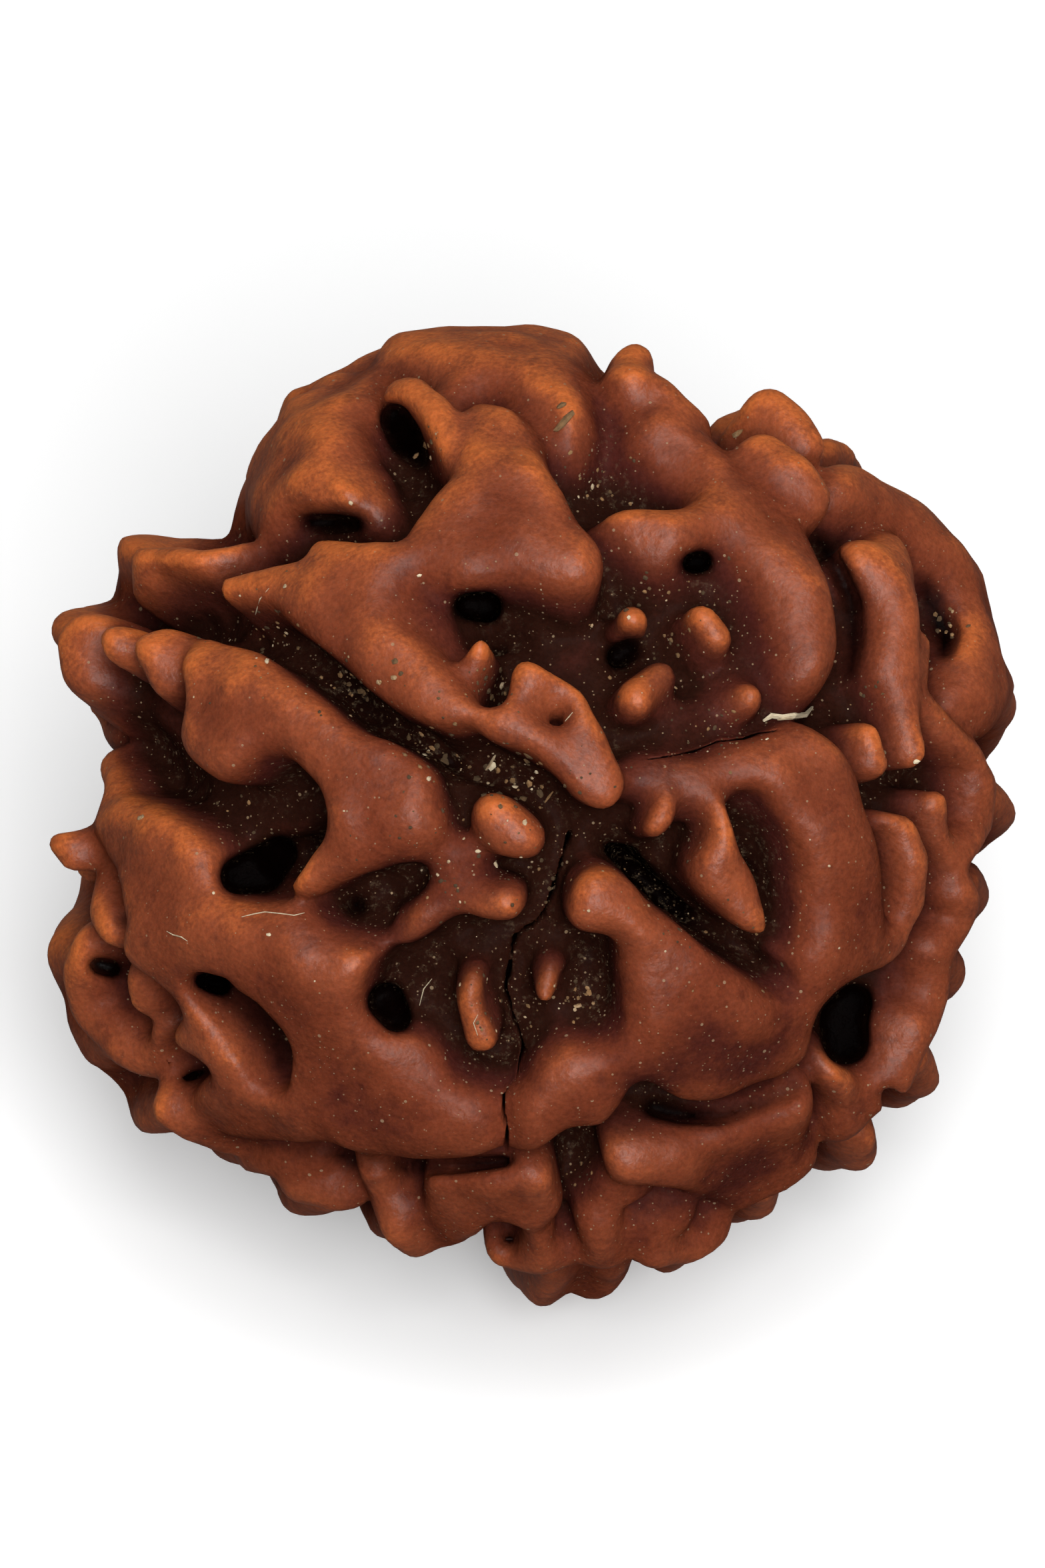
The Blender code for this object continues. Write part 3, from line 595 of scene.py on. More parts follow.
def sculpt():
    """The whole bead as a field."""
    clay = Clay()
    for turn in (near, far):
        for height, rounding, blend, splay, outline in PLATES.values():
            ways = [turn(lifted(x, y, height - PLATE_EDGE)) for x, y in softened(outline)]
            clay.plate(ways, height, rounding, blend, splay)
        for blend, points in RIDGES.values():
            if not left_out(turn, points):
                ways = [turn(lifted(p[0], p[1], p[3])) for p in points]
                clay.ridge(ways, [p[2] for p in points], [p[3] for p in points], blend)
    for around, width, height in WAIST:
        ways = []
        for latitude, lean in ((-16, -4), (-2, 0), (6, 2)):
            slope = math.radians(latitude)
            angle = math.radians(around + lean)
            flat = math.cos(slope)
            ways.append(np.array([math.cos(angle) * flat, math.sin(angle) * flat, math.sin(slope)]))
        clay.ridge(ways, [width] * 3, [height - .2, height - .1, height - .4], 0.8)
    for turn in (near, far):
        for blend, points in PITS.values():
            ways = [turn(lifted(p[0], p[1], -PIT_MOUTH)) for p in points]
            clay.pit(ways, [p[2] for p in points], [p[3] for p in points], blend)
    clay.rubble()
    blur(clay.field)
    for turn in (near, far):
        for blend, _, points in HOLES.values():
            if not left_out(turn, points):
                clay.hole(turn, points, blend)
    rest_on_spot(clay)
    blur(clay.field)
    return clay


def rest_on_spot(clay):
    """Fills the bottom to a small pad and cuts it flat."""
    x, y, z = np.meshgrid(clay.axis, clay.axis, clay.axis, indexing="ij", sparse=True)
    down = -AXES[:, 2]
    depth = x * down[0] + y * down[1] + z * down[2]
    aside = np.sqrt(np.maximum(clay.radius ** 2 - depth ** 2, 0))
    pad = rounded(aside - PAD_RADIUS, clay.level + PAD_DROP, PAD_EDGE)
    pad = np.where(depth > 0, pad, FAR_OFF)
    everything = (slice(None),) * 3
    clay.add(everything, pad.astype(np.float32), 0.8)
    clay.cut(everything, (MIDDLE_HEIGHT - depth).astype(np.float32), 0.25)


def blur(field):
    """A light three-point smoothing along each axis, in place."""
    for axis in range(3):
        moved = np.moveaxis(field, axis, 0)
        middle = moved[1:-1] * 0.5 + 0.25 * (moved[:-2] + moved[2:])
        moved[1:-1] = middle


def skin(field, axis):
    """Surface nets: one vertex in each cell that the surface crosses."""
    step = float(axis[1] - axis[0])
    inside = field < 0
    count = field.shape[0] - 1
    total = np.zeros((count,) * 3 + (3,), np.float32)
    crossings = np.zeros((count,) * 3, np.float32)
    edge_list = []
    for way in range(3):
        others = [k for k in range(3) if k != way]
        low = [slice(None)] * 3
        high = [slice(None)] * 3
        low[way] = slice(0, -1)
        high[way] = slice(1, None)
        f0, f1 = field[tuple(low)], field[tuple(high)]
        crossed = inside[tuple(low)] != inside[tuple(high)]
        share = np.where(crossed, f0 / np.where(crossed, f0 - f1, 1), 0)
        for da in (0, 1):
            for db in (0, 1):
                source = [slice(None)] * 3
                source[others[0]] = slice(da, count + da)
                source[others[1]] = slice(db, count + db)
                source = tuple(source)
                hit = crossed[source]
                total[..., way] += np.where(hit, share[source], 0)
                total[..., others[0]] += np.where(hit, da, 0)
                total[..., others[1]] += np.where(hit, db, 0)
                crossings += hit
        edge_list.append((way, others, crossed, inside[tuple(low)]))
    used = crossings > 0
    number = np.full(used.shape, -1, np.int64)
    number[used] = np.arange(used.sum())
    cells = np.argwhere(used)
    places = cells + total[used] / crossings[used][:, None]
    vertices = places * step + axis[0]
    quads = []
    for way, others, crossed, first_inside in edge_list:
        found = np.argwhere(crossed)
        keep = (found[:, others[0]] > 0) & (found[:, others[1]] > 0)
        keep &= (found[:, others[0]] < count) & (found[:, others[1]] < count)
        found = found[keep]
        corners = []
        for da, db in ((1, 1), (0, 1), (0, 0), (1, 0)):
            cell = found.copy()
            cell[:, others[0]] -= da
            cell[:, others[1]] -= db
            corners.append(number[cell[:, 0], cell[:, 1], cell[:, 2]])
        quad = np.column_stack(corners)
        outward = first_inside[found[:, 0], found[:, 1], found[:, 2]]
        flip = outward if way != 1 else ~outward
        quad[~flip] = quad[~flip][:, ::-1]
        quads.append(quad)
    return vertices, np.concatenate(quads)


def sampled(clay, field, points):
    """A field's values at points, by linear interpolation."""
    place = np.clip((points + GRID_HALF) / clay.step, 0, clay.count - 1.001)
    base = place.astype(int)
    part = (place - base).astype(np.float32)
    value = 0
    for dx in (0, 1):
        for dy in (0, 1):
            for dz in (0, 1):
                weight = ((part[:, 0] if dx else 1 - part[:, 0])
                          * (part[:, 1] if dy else 1 - part[:, 1])
                          * (part[:, 2] if dz else 1 - part[:, 2]))
                value = value + weight * field[base[:, 0] + dx, base[:, 1] + dy, base[:, 2] + dz]
    return value


def settled(clay, vertices, rounds=3):
    """Vertices moved onto the surface itself."""
    for _ in range(rounds):
        parts = []
        for axis in range(3):
            shift = np.zeros(3)
            shift[axis] = 0.5 * clay.step
            parts.append(sampled(clay, clay.field, vertices + shift)
                         - sampled(clay, clay.field, vertices - shift))
        gradient = np.column_stack(parts) / clay.step
        steep = np.maximum((gradient ** 2).sum(axis=1), 0.15)
        move = gradient * (sampled(clay, clay.field, vertices) / steep)[:, None]
        vertices = vertices - np.clip(move, -0.5 * clay.step, 0.5 * clay.step)
    return vertices


def largest_part(vertices, quads):
    """Leaves out loose crumbs: keeps the part that most faces belong to."""
    label = np.arange(len(vertices))
    while True:
        lowest = label[quads].min(axis=1)
        new = label.copy()
        for corner in range(4):
            np.minimum.at(new, quads[:, corner], lowest)
        new = new[new]
        if np.array_equal(new, label):
            break
        label = new
    names, counts = np.unique(label[quads[:, 0]], return_counts=True)
    main = names[counts.argmax()]
    quads = quads[label[quads[:, 0]] == main]
    used = np.unique(quads)
    number = np.full(len(vertices), -1)
    number[used] = np.arange(len(used))
    return vertices[used], number[quads]


def openness(clay, points, reach):
    """How open the space over a point is: 0 in a tight hollow, 0.5 on a plain, 1 on a tip."""
    rng = np.random.default_rng(11)
    total = 0
    for _ in range(OPENNESS_RAYS):
        way = rng.normal(size=3)
        way /= np.linalg.norm(way)
        total = total + np.clip(sampled(clay, clay.field, points + reach * way) / reach, -1, 1)
    return 0.5 + 0.5 * total / OPENNESS_RAYS


def build_bead():
    clay = sculpt()
    vertices, quads = skin(clay.field, clay.axis)
    vertices, quads = largest_part(vertices, quads)
    vertices = settled(clay, vertices)
    fine = openness(clay, vertices, 0.45)
    broad = openness(clay, vertices, 1.3)
    level = sampled(clay, clay.level, vertices)
    # Painted shade: how black each point inside a hole is painted, the deeper the blacker.
    hole = hole_shade_share(vertices) * np.clip((-level - 0.3) / 0.7, 0, 1)
    world = to_row(vertices)
    world[:, 2] = np.maximum(world[:, 2], 0.0)
    mesh = bpy.data.meshes.new("bead_skin")
    mesh.vertices.add(len(world))
    mesh.vertices.foreach_set("co", world.astype(np.float32).ravel())
    mesh.loops.add(4 * len(quads))
    mesh.loops.foreach_set("vertex_index", quads.astype(np.int32).ravel())
    mesh.polygons.add(len(quads))
    mesh.polygons.foreach_set("loop_start", np.arange(0, 4 * len(quads), 4, dtype=np.int32))
    mesh.update(calc_edges=True)
    mesh.validate()
    mesh.polygons.foreach_set("use_smooth", np.ones(len(mesh.polygons), bool))
    for name, values in (("fine", fine), ("broad", broad), ("level", level), ("hole", hole)):
        layer = mesh.attributes.new(name, "FLOAT", "POINT")
        layer.data.foreach_set("value", values.astype(np.float32))
    bead = bpy.data.objects.new("bead_stone", mesh)
    bpy.context.collection.objects.link(bead)
    triangles = 2 * len(quads)
    if triangles > TRIANGLES:
        thinning = bead.modifiers.new("thinning", "DECIMATE")
        thinning.ratio = TRIANGLES / triangles
    return bead


# Hair-thin cracks where the halves of the stone meet: half-width, depth, points.
CRACKS = [
    (0.055, 0.8, [(1.0, -0.5), (0.85, -1.0), (0.7, -1.5), (0.55, -2.0), (0.35, -2.45), (0.1, -2.7),
                  (-0.1, -2.8), (-0.3, -2.95), (-0.4, -3.3), (-0.45, -3.8), (-0.55, -4.2), (-0.4, -4.8),
                  (-0.2, -5.3), (-0.1, -5.7), (-0.2, -6.1), (-0.25, -6.4), (-0.6, -6.8), (-0.6, -7.2),
                  (-0.5, -7.6), (-0.53, -8.1)]),
    (0.026, 0.35, [(2.9, 1.3), (3.5, 1.4), (4.0, 1.5), (4.6, 1.75), (5.2, 1.8), (5.6, 1.95), (6.0, 2.0)]),
]


def line_distance(x, y, points):
    """Distance in the plan to an open line."""
    return np.min([to_segment(x, y, *ends)[0] for ends in zip(points[:-1], points[1:])], axis=0)


def crack_width(points):
    """Swells and pinches along the cracks."""
    x, y = points[:, 0], points[:, 1]
    return 0.75 + 0.45 * np.sin(2.3 * y + 1.1 * np.sin(5.1 * x + 3.7 * y)) * np.sin(6.7 * y + 2.0 * x)


def crack_share(points):
    """How deep in a crack each point of the near half is, 0 to 1, and the depth."""
    share = np.zeros(len(points))
    depth = np.zeros(len(points))
    for half_width, deepest, line in CRACKS:
        away = line_distance(points[:, 0], points[:, 1], line)
        width = half_width * crack_width(points)
        inside = np.clip(1.35 - away / width, 0, 1) * (points[:, 2] > 0)
        share = np.maximum(share, inside)
        depth = np.maximum(depth, inside * deepest)
    return share, depth


def mesh_points(mesh):
    """A mesh's vertices in the plan's own axes, in millimetres."""
    flat = np.empty(3 * len(mesh.vertices), np.float32)
    mesh.vertices.foreach_get("co", flat)
    return to_plan(flat.reshape(-1, 3))


def open_cracks(mesh):
    """Refines the mesh along the cracks and sinks them."""
    work = bmesh.new()
    work.from_mesh(mesh)
    for reach in (0.30, 0.17):
        work.verts.ensure_lookup_table()
        points = to_plan(np.array([v.co[:] for v in work.verts]))
        close = np.zeros(len(points), bool)
        for _, _, line in CRACKS:
            close |= (line_distance(points[:, 0], points[:, 1], line) < reach) & (points[:, 2] > 0)
        edges = [e for e in work.edges if close[e.verts[0].index] or close[e.verts[1].index]]
        bmesh.ops.subdivide_edges(work, edges=edges, cuts=1, use_grid_fill=True)
        bmesh.ops.triangulate(work, faces=[f for f in work.faces if len(f.verts) > 4])
    work.to_mesh(mesh)
    work.free()
    points = mesh_points(mesh)
    share, depth = crack_share(points)
    inward = points / np.linalg.norm(points, axis=1)[:, None]
    points = points - inward * depth[:, None]
    world = to_row(points)
    mesh.vertices.foreach_set("co", world.astype(np.float32).ravel())
    layer = mesh.attributes.new("crack", "FLOAT", "POINT")
    layer.data.foreach_set("value", share.astype(np.float32))
    mesh.polygons.foreach_set("use_smooth", np.ones(len(mesh.polygons), bool))
    mesh.update()


def applied(piece):
    """Bakes a piece's modifiers into its mesh."""
    graph = bpy.context.evaluated_depsgraph_get()
    mesh = bpy.data.meshes.new_from_object(piece.evaluated_get(graph), preserve_all_data_layers=True,
                                           depsgraph=graph)
    piece.modifiers.clear()
    piece.data = mesh
    return mesh


class Nodes:
    """Short calls for laying out a material's nodes."""

    def __init__(self, name):
        self.material = bpy.data.materials.new(name)
        self.material.use_nodes = True
        self.tree = self.material.node_tree
        self.tree.nodes.clear()

    def make(self, kind, **settings):
        node = self.tree.nodes.new(kind)
        for key, value in settings.items():
            setattr(node, key, value)
        return node

    def put(self, socket, value):
        if isinstance(value, bpy.types.NodeSocket):
            self.tree.links.new(value, socket)
        else:
            socket.default_value = value

    def math(self, operation, a, b, clamp=False):
        node = self.make("ShaderNodeMath", operation=operation, use_clamp=clamp)
        self.put(node.inputs[0], a)
        self.put(node.inputs[1], b)
        return node.outputs[0]

    def plus(self, a, b):
        return self.math("ADD", a, b)

    def times(self, a, b):
        return self.math("MULTIPLY", a, b)

    def swing(self, texture, size):
        """A texture's swing about its middle."""
        return self.times(self.math("SUBTRACT", texture, 0.5), size)

    def scaled(self, vector, factor):
        node = self.make("ShaderNodeVectorMath", operation="SCALE")
        self.put(node.inputs[0], vector)
        self.put(node.inputs["Scale"], factor)
        return node.outputs[0]

    def place_mm(self):
        """The place on the piece, in millimetres."""
        return self.scaled(self.make("ShaderNodeTexCoord").outputs["Object"], 1 / MM)

    def spread(self, value, low, high, to_low=0.0, to_high=1.0):
        node = self.make("ShaderNodeMapRange", interpolation_type="SMOOTHSTEP")
        for socket, number in zip(node.inputs, (value, low, high, to_low, to_high)):
            self.put(socket, number)
        return node.outputs[0]

    def mixed(self, share, a, b):
        node = self.make("ShaderNodeMix", data_type="RGBA")
        self.put(node.inputs[0], share)
        self.put(node.inputs[6], a)
        self.put(node.inputs[7], b)
        return node.outputs[2]

    def attribute(self, name):
        return self.make("ShaderNodeAttribute", attribute_name=name).outputs["Fac"]

    def noise(self, place, scale, detail=3.0, rough=0.55):
        node = self.make("ShaderNodeTexNoise")
        self.put(node.inputs["Vector"], place)
        self.put(node.inputs["Scale"], scale)
        self.put(node.inputs["Detail"], detail)
        self.put(node.inputs["Roughness"], rough)
        return node.outputs[0]

    def bump(self, height, distance, strength=0.4):
        node = self.make("ShaderNodeBump")
        self.put(node.inputs["Strength"], strength)
        self.put(node.inputs["Distance"], distance)
        self.put(node.inputs["Height"], height)
        return node.outputs[0]

    def surface(self, inputs):
        """The finished material, with a principled shader's inputs by name."""
        shader = self.make("ShaderNodeBsdfPrincipled")
        for name, value in inputs.items():
            self.put(shader.inputs[name], value)
        output = self.make("ShaderNodeOutputMaterial")
        self.tree.links.new(shader.outputs[0], output.inputs[0])
        return self.material


# Stone colours. The tip colour is a painted glow of light through thin tips. PURPLE is the stone's
# purple-brown mottling and also painted shade. FLOOR and BLACK are painted shade in the valleys and
# holes.
TIP_GLOW = (0.46, 0.112, 0.025, 1)
RIDGE = (0.270, 0.062, 0.020, 1)
PLATE = (0.155, 0.034, 0.014, 1)
PURPLE = (0.050, 0.0105, 0.0080, 1)
FLOOR = (0.020, 0.0060, 0.0036, 1)
BLACK = (0.0020, 0.0005, 0.0004, 1)
DUST = (0.29, 0.20, 0.12, 1)
CRUMB = (0.060, 0.036, 0.018, 1)
HUSK = (0.24, 0.130, 0.055, 1)
FIBRE = (0.60, 0.50, 0.34, 1)

# Dust specks: how closely they lie, and their largest size. Pores: scale,
# detail, roughness and depth in millimetres.
SPECKS = [(3.4, 0.16), (6.0, 0.18), (9.0, 0.20)]
PORES = [(5.5, 4.0, 0.6, 0.06), (1.7, 3.0, 0.55, 0.16), (18.0, 2.0, 0.55, 0.012)]


def stone_colour(n, place, swell, mottle, grit):
    """Stone colour with painted light and shade: lighter crests and a painted glow on the open tips,
    purple-brown mottling, painted shade from purple-brown to black in closed and low places, and holes
    painted black as shade.
    """
    fine, broad, level, hole = (n.attribute(name) for name in ("fine", "broad", "level", "hole"))
    cloud = n.noise(place, 0.8, 4.0, 0.6)
    # Partly the stone's own colour, partly painted light: the more open crests go from plate brown to a
    # lighter ridge brown.
    colour = n.mixed(n.spread(swell, 0.50, 0.68), PLATE, RIDGE)
    # Painted light: an orange glow, as of light shining through the thin open tips.
    sharp = n.plus(fine, n.swing(grit, 0.10))
    tip_glow = n.times(n.spread(sharp, 0.52, 0.65), n.spread(broad, 0.52, 0.68))
    colour = n.mixed(tip_glow, colour, TIP_GLOW)
    patch = n.times(n.spread(cloud, 0.46, 0.66), n.spread(mottle, 0.38, 0.62))
    colour = n.mixed(n.times(patch, 0.35), colour, PURPLE)
    vein = n.spread(n.noise(place, 1.25, 6.0, 0.72), 0.50, 0.68)
    colour = n.mixed(n.times(vein, 0.35), colour, PURPLE)
    # Painted shade: purple-brown where the surface is closed in.
    colour = n.mixed(n.times(n.spread(swell, 0.51, 0.38), 0.9), colour, PURPLE)
    # Painted shade: darker the lower the surface lies under the crest shape, varied by the cloud.
    sunk_shade = n.spread(n.plus(level, n.times(cloud, 0.8)), 0.15, -1.0)
    colour = n.mixed(n.times(sunk_shade, 0.85), colour, PURPLE)
    # Painted shade: dark brown on the valley floors, in low and closed places.
    deep = n.times(n.spread(swell, 0.56, 0.42), n.spread(level, -0.9, -1.7))
    colour = n.mixed(deep, colour, FLOOR)
    # Painted shade: near-black in the deepest, most closed hollows.
    darkest_shade = n.times(n.spread(broad, 0.36, 0.20), n.spread(level, -1.9, -2.7))
    colour = n.mixed(darkest_shade, colour, BLACK)
    # Painted shade: the insides of the holes painted black.
    colour = n.mixed(hole, colour, BLACK)
    return n.scaled(colour, n.spread(grit, 0.25, 0.75, 0.82, 1.14))


def stone_specks(n, place, swell):
    """Pale dust specks of three sizes, more of them in the hollows."""
    specks = 0.0
    for cell, size in SPECKS:
        spots = n.make("ShaderNodeTexVoronoi", feature="F1")
        n.put(spots.inputs["Vector"], place)
        n.put(spots.inputs["Scale"], cell)
        pick = n.make("ShaderNodeSeparateColor")
        n.put(pick.inputs[0], spots.outputs["Color"])
        chosen = n.math("LESS_THAN", pick.outputs[0], n.spread(swell, 0.62, 0.34, 0.05, 0.40))
        radius = n.times(size, n.spread(pick.outputs[1], 0.0, 1.0, 0.35, 1.0))
        spot = n.math("LESS_THAN", spots.outputs["Distance"], radius)
        specks = n.math("MAXIMUM", specks, n.times(spot, chosen))
    return specks


def stone_material():
    n = Nodes("bead_wood_waxed")
    place = n.place_mm()
    broad = n.attribute("broad")
    mottle = n.noise(place, 2.2, 5.0, 0.65)
    grit = n.noise(place, 9.0, 3.0, 0.6)
    swell = n.plus(broad, n.swing(mottle, 0.16))
    specks = stone_specks(n, place, swell)
    haze = n.spread(n.noise(place, 5.0, 6.0, 0.75), 0.52, 0.72)
    haze = n.times(haze, n.spread(broad, 0.44, 0.26, 0.0, 0.30))
    dusty = n.math("MAXIMUM", n.times(specks, 0.65), haze)
    dusty = n.times(dusty, n.math("SUBTRACT", 1.0, n.attribute("hole")))
    colour = n.mixed(dusty, stone_colour(n, place, swell, mottle, grit), DUST)
    colour = n.mixed(n.spread(n.attribute("crack"), 0.15, 0.65), colour, BLACK)
    rough = n.plus(n.spread(swell, 0.32, 0.56, 0.90, 0.40), n.swing(mottle, 0.25))
    rough = n.math("MAXIMUM", rough, n.times(dusty, 0.9), clamp=True)
    wax = n.times(n.spread(swell, 0.46, 0.64, 0.02, 0.5), n.math("SUBTRACT", 1.0, dusty))
    height = n.times(specks, 0.02)
    for scale, detail, coarse, depth in PORES:
        height = n.plus(height, n.times(n.noise(place, scale, detail, coarse), depth))
    relief = n.bump(height, 1 * MM)
    return n.surface({
        "Base Color": colour, "Roughness": rough, "Normal": relief, "Specular IOR Level": 0.0,
        "Subsurface Weight": 0.25, "Subsurface Radius": (1.0, 0.35, 0.15),
        "Subsurface Scale": 0.5 * MM, "Coat Weight": wax, "Coat Roughness": 0.42,
        "Coat Normal": relief})


# Fibres and flakes caught on the bead: half-width, paleness, points in the plan.
FIBRES = [
    (0.065, 1.0, [(5.65, 2.15), (5.85, 2.28), (6.1, 2.28), (6.35, 2.4), (6.6, 2.42), (6.85, 2.52)]),
    (0.04, 0.8, [(6.0, 2.2), (6.3, 2.3), (6.55, 2.34)]),
    (0.012, 1.0, [(-6.85, -2.48), (-6.6, -2.42), (-6.3, -2.36), (-5.9, -2.4), (-5.6, -2.44),
                  (-5.35, -2.38)]),
    (0.014, 1.0, [(-8.65, -2.82), (-8.5, -2.9), (-8.3, -2.95), (-8.15, -3.05)]),
    (0.012, 1.0, [(-6.2, 5.4), (-6.42, 5.15), (-6.52, 4.85), (-6.6, 4.5)]),
    (0.014, 0.8, [(0.9, 2.2), (1.0, 2.32), (1.08, 2.42)]),
    (0.03, 0.7, [(-1.0, 1.05), (-0.92, 1.15), (-0.8, 1.35), (-0.76, 1.42)]),
    (0.03, 0.5, [(0.4, 0.25), (0.5, 0.4), (0.62, 0.55)]),
    (0.012, 0.9, [(-2.6, -4.6), (-2.5, -4.2), (-2.3, -3.95)]),
    (0.012, 0.9, [(-1.2, -5.3), (-1.3, -5.0), (-1.2, -4.8)]),
]

# Single crumbs: place, length, width, turn in degrees, paleness.
FLAKES = [
    (0.87, 9.4, 0.42, 0.12, 88, 0.30), (0.8, 9.8, 0.16, 0.09, 70, 0.28),
    (-0.85, 1.15, 0.16, 0.09, 60, 0.95), (-2.6, 5.7, 0.07, 0.04, 20, 0.9),
    (-4.25, 7.45, 0.07, 0.06, 0, 0.8), (9.33, 1.25, 0.09, 0.08, 0, 1.0),
    (-9.3, -0.1, 0.14, 0.08, 70, 0.6), (-6.2, -2.9, 0.08, 0.05, 30, 0.9),
    (-1.2, -0.9, 0.08, 0.06, 0, 0.8), (-0.78, -1.2, 0.13, 0.09, 80, 0.8),
    (-6.25, 3.65, 0.12, 0.06, 130, 0.9), (5.05, 9.15, 0.2, 0.1, 60, 0.55),
    (1.55, 7.85, 0.09, 0.08, 0, 0.8), (-2.45, 8.85, 0.2, 0.13, 45, 0.45),
    (-2.7, 8.6, 0.12, 0.09, 0, 0.6),
]

# Where loose dust gathers: middle, spread, how many grains, largest radius.
DRIFTS = [
    (-0.3, 0.75, 0.8, 50, 0.11), (-6.4, 4.35, 1.1, 40, 0.08), (-4.2, 2.8, 0.9, 40, 0.09),
    (-2.4, 1.5, 0.6, 40, 0.10), (-0.9, 3.1, 0.4, 30, 0.10), (-2.5, 8.7, 0.35, 24, 0.09),
    (3.2, 4.4, 1.3, 60, 0.07), (4.5, 2.0, 1.0, 40, 0.06), (0.2, -1.5, 0.7, 30, 0.07),
    (-0.6, -4.6, 0.8, 50, 0.06), (1.4, -4.4, 0.7, 40, 0.07), (-2.0, -1.4, 1.0, 50, 0.06),
    (1.2, -8.6, 0.5, 20, 0.07), (1.8, 8.2, 0.7, 36, 0.06), (8.2, 2.8, 0.5, 20, 0.06),
    (10.1, 4.6, 0.4, 16, 0.08), (3.9, -2.6, 0.9, 36, 0.06), (-6.6, -0.4, 0.9, 30, 0.06),
    (0.0, 0.0, 5.5, 260, 0.045),
]


def landing(bead, x, y):
    """The bead's surface under a place in the plan, and its direction, in the row frame."""
    start = to_row(np.array([x, y, ABOVE]))
    hit, place, normal, _ = bead.ray_cast(Vector(start), Vector(-AXES[2]))
    return (place, normal) if hit else (None, None)


def hidden(place):
    """Whether a place on the bead, in the row frame, is deep in a hole."""
    point = to_plan(np.array(place))
    return hole_shade_share(point[None, :])[0] > 0.5 and np.linalg.norm(point) < CREST[0] - 1.0


def grain(work, place, normal, size, turn, rng):
    """An uneven crumb: size holds its half-length, half-width and half-height."""
    made = bmesh.ops.create_icosphere(work, subdivisions=1, radius=1.0)["verts"]
    facing = normal.to_track_quat("Z", "Y").to_matrix() @ Matrix.Rotation(turn, 3, "Z")
    for vert in made:
        uneven = rng.uniform(0.75, 1.2)
        vert.co = place + facing @ Vector([c * s * MM * uneven for c, s in zip(vert.co, size)])
    return made


def fibre(work, places, half_width):
    """A thin square-sectioned strand through places."""
    rings = []
    for index, place in enumerate(places):
        before, after = places[max(index - 1, 0)], places[min(index + 1, len(places) - 1)]
        along = (after - before).normalized()
        side = along.cross(Vector(AXES[2])).normalized()
        lift = side.cross(along)
        taper = 0.45 if index in (0, len(places) - 1) else 1.0
        size = half_width * MM * taper
        rings.append([work.verts.new(place + side * size * a + lift * size * b)
                      for a, b in ((1, 0), (0, 1), (-1, 0), (0, -1))])
    for one, two in zip(rings[:-1], rings[1:]):
        for k in range(4):
            work.faces.new((one[k - 1], one[k], two[k], two[k - 1]))
    work.faces.new(rings[0])
    work.faces.new(rings[-1][::-1])
    return [vert for ring in rings for vert in ring]


def build_debris(bead):
    """Dust grains, crumbs and fibres lying on the bead, as one piece."""
    rng = np.random.default_rng(23)
    work = bmesh.new()
    pale = []
    for half_width, paleness, line in FIBRES:
        places = []
        for x, y in line:
            place, normal = landing(bead, x, y)
            if place is not None:
                places.append(place + normal * half_width * MM * 1.3)
        if len(places) > 1:
            pale += [paleness] * len(fibre(work, places, half_width))
    for x, y, length, width, turn, paleness in FLAKES:
        place, normal = landing(bead, x, y)
        if place is not None:
            size = (length, width, 0.5 * width)
            pale += [paleness] * len(grain(work, place, normal, size, math.radians(turn), rng))
    for x, y, spread, count, largest in DRIFTS:
        for _ in range(count):
            place, normal = landing(bead, *rng.normal((x, y), 0.6 * spread))
            radius = largest * rng.uniform(0.3, 1.0) ** 1.8
            paleness = 0.85 * rng.uniform() ** 2.2
            turn = rng.uniform(0, math.pi)
            stretch = rng.uniform(0.7, 1.5)
            if place is None or hidden(place):
                continue
            size = (radius * stretch, radius, 0.6 * radius)
            pale += [paleness] * len(grain(work, place, normal, size, turn, rng))
    mesh = bpy.data.meshes.new("debris")
    work.to_mesh(mesh)
    work.free()
    layer = mesh.attributes.new("pale", "FLOAT", "POINT")
    layer.data.foreach_set("value", np.array(pale, np.float32))
    mesh.materials.append(debris_material())
    debris = bpy.data.objects.new("bead_dust", mesh)
    bpy.context.collection.objects.link(debris)
    return debris


def debris_material():
    n = Nodes("bead_wood_dust")
    flecks = n.noise(n.place_mm(), 6.0, 4.0, 0.6)
    pale = n.plus(n.attribute("pale"), n.swing(flecks, 0.5))
    colour = n.mixed(n.spread(pale, 0.0, 0.55), CRUMB, HUSK)
    colour = n.mixed(n.spread(pale, 0.5, 1.0), colour, FIBRE)
    return n.surface({
        "Base Color": colour, "Roughness": n.spread(flecks, 0.2, 0.8, 0.8, 0.95),
        "Normal": n.bump(flecks, 0.2 * MM), "Specular IOR Level": 0.2})


# Floor and camera, in metres, and the plan millimetres that the frame shows.
FLOOR_HALF = 0.6
CAMERA_DISTANCE = 0.8
FRAME_HEIGHT = 37.94
AIM_RIGHT = -0.13
AIM_UP = 0.71

# Soft lights: place, size across and watts.
LIGHTS = {
    "overhead": ((0.03, -0.12, 0.41), 0.34, 0.98),
    "front": ((0.04, -0.33, 0.27), 0.26, 1.80),
}
LIGHT_AIM = (0.0, 0.0, 0.01)
SKY_STRENGTH = 0.16


def floor_material():
    return Nodes("plain_floor").surface({
        "Base Color": (0.93, 0.93, 0.93, 1), "Roughness": 0.9, "Specular IOR Level": 0.1,
        "Emission Color": (1.0, 1.0, 1.0, 1), "Emission Strength": 0.18})


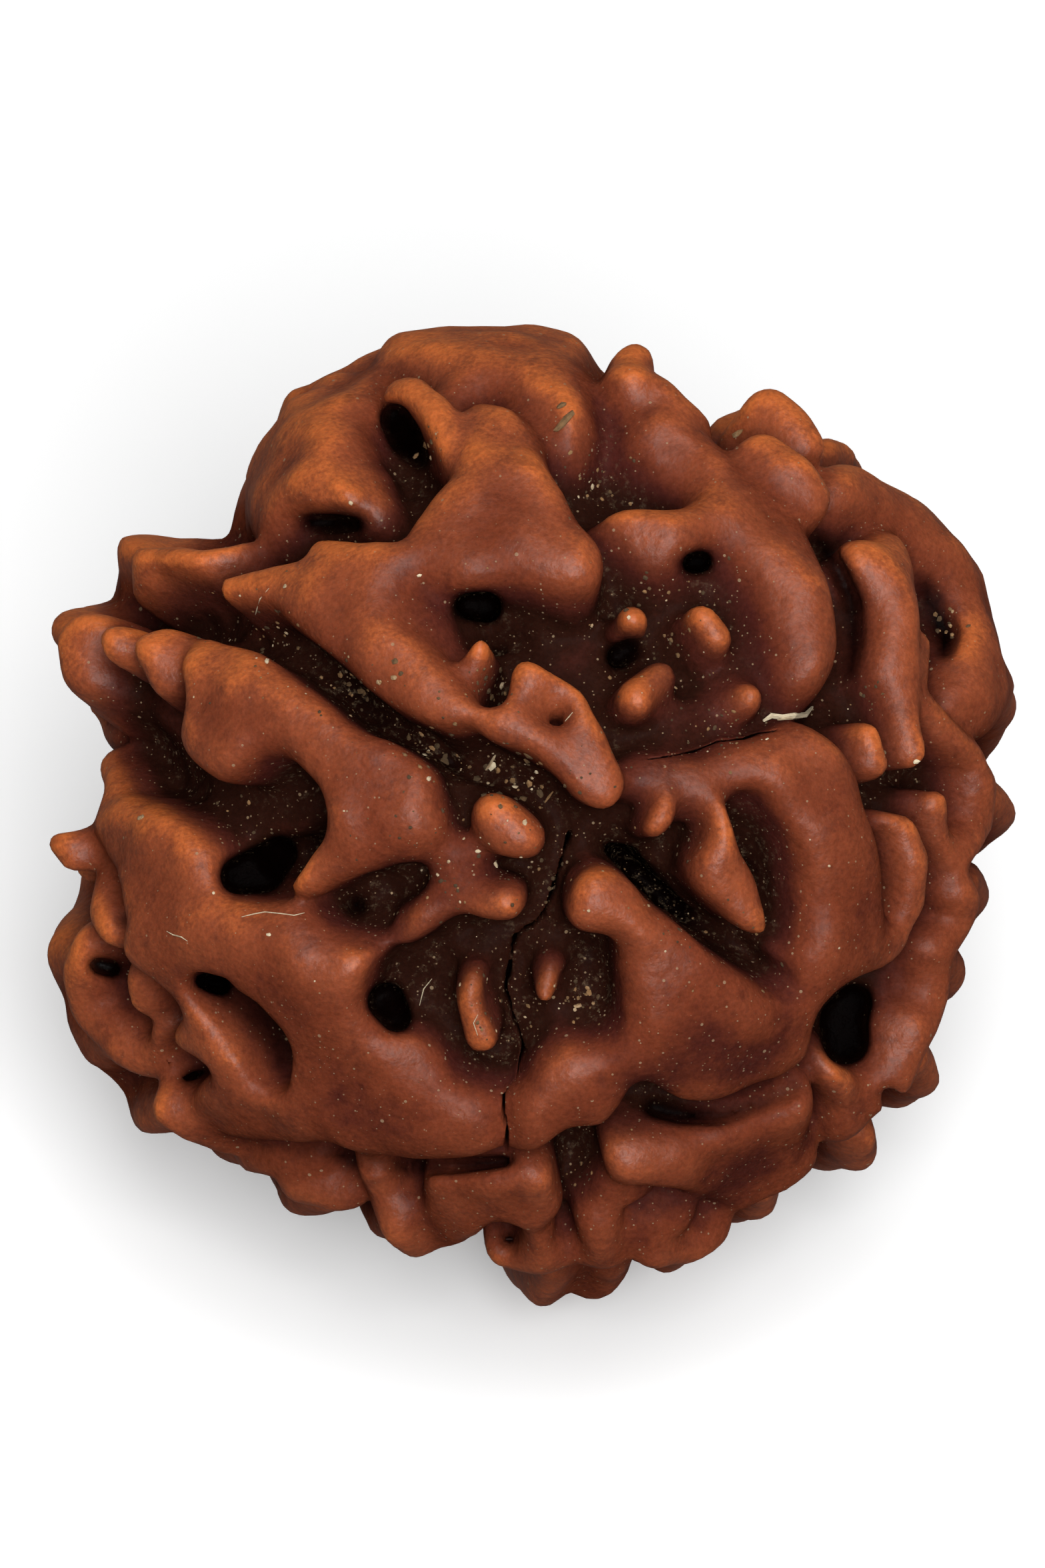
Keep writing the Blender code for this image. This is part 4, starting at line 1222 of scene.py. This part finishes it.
def add_floor():
    mesh = bpy.data.meshes.new("floor")
    corners = [(FLOOR_HALF * a, FLOOR_HALF * b, 0) for a, b in ((-1, -1), (1, -1), (1, 1), (-1, 1))]
    mesh.from_pydata(corners, [], [(0, 1, 2, 3)])
    mesh.materials.append(floor_material())
    floor = bpy.data.objects.new("floor", mesh)
    bpy.context.collection.objects.link(floor)
    floor.visible_diffuse = False
    floor.visible_glossy = False
    return floor


def add_light(name, place, size, watts):
    data = bpy.data.lights.new(name, "AREA")
    data.shape = "DISK"
    data.size = size
    data.energy = watts
    light = bpy.data.objects.new(name, data)
    light.location = place
    light.rotation_euler = (Vector(LIGHT_AIM) - Vector(place)).to_track_quat("-Z", "Y").to_euler()
    bpy.context.collection.objects.link(light)


def set_stage():
    scene = bpy.context.scene
    world = bpy.data.worlds.new("soft_white")
    world.use_nodes = True
    world.node_tree.nodes["Background"].inputs[0].default_value = (1.0, 1.0, 1.0, 1)
    world.node_tree.nodes["Background"].inputs[1].default_value = SKY_STRENGTH
    scene.world = world
    for name, (place, size, watts) in LIGHTS.items():
        add_light(name, place, size, watts)
    data = bpy.data.cameras.new("camera")
    data.sensor_width = 36.0
    data.sensor_fit = "AUTO"
    data.lens = data.sensor_width * CAMERA_DISTANCE / (FRAME_HEIGHT * MM)
    data.clip_start = 0.05
    data.clip_end = 5.0
    camera = bpy.data.objects.new("camera", data)
    right, up, toward = (Vector(axis) for axis in AXES)
    aim = Vector(MIDDLE * MM) + AIM_RIGHT * MM * right + AIM_UP * MM * up
    camera.location = aim + toward * CAMERA_DISTANCE
    camera.rotation_euler = Matrix((right, up, toward)).transposed().to_euler()
    bpy.context.collection.objects.link(camera)
    scene.camera = camera
    scene.view_settings.view_transform = "Standard"


def main():
    bead = build_bead()
    mesh = applied(bead) if bead.modifiers else bead.data
    open_cracks(mesh)
    mesh.materials.clear()
    mesh.materials.append(stone_material())
    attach(bead, "root")
    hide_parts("bead")
    debris = build_debris(bead)
    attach(debris, "root")
    add_floor()
    set_stage()
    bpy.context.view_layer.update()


main()
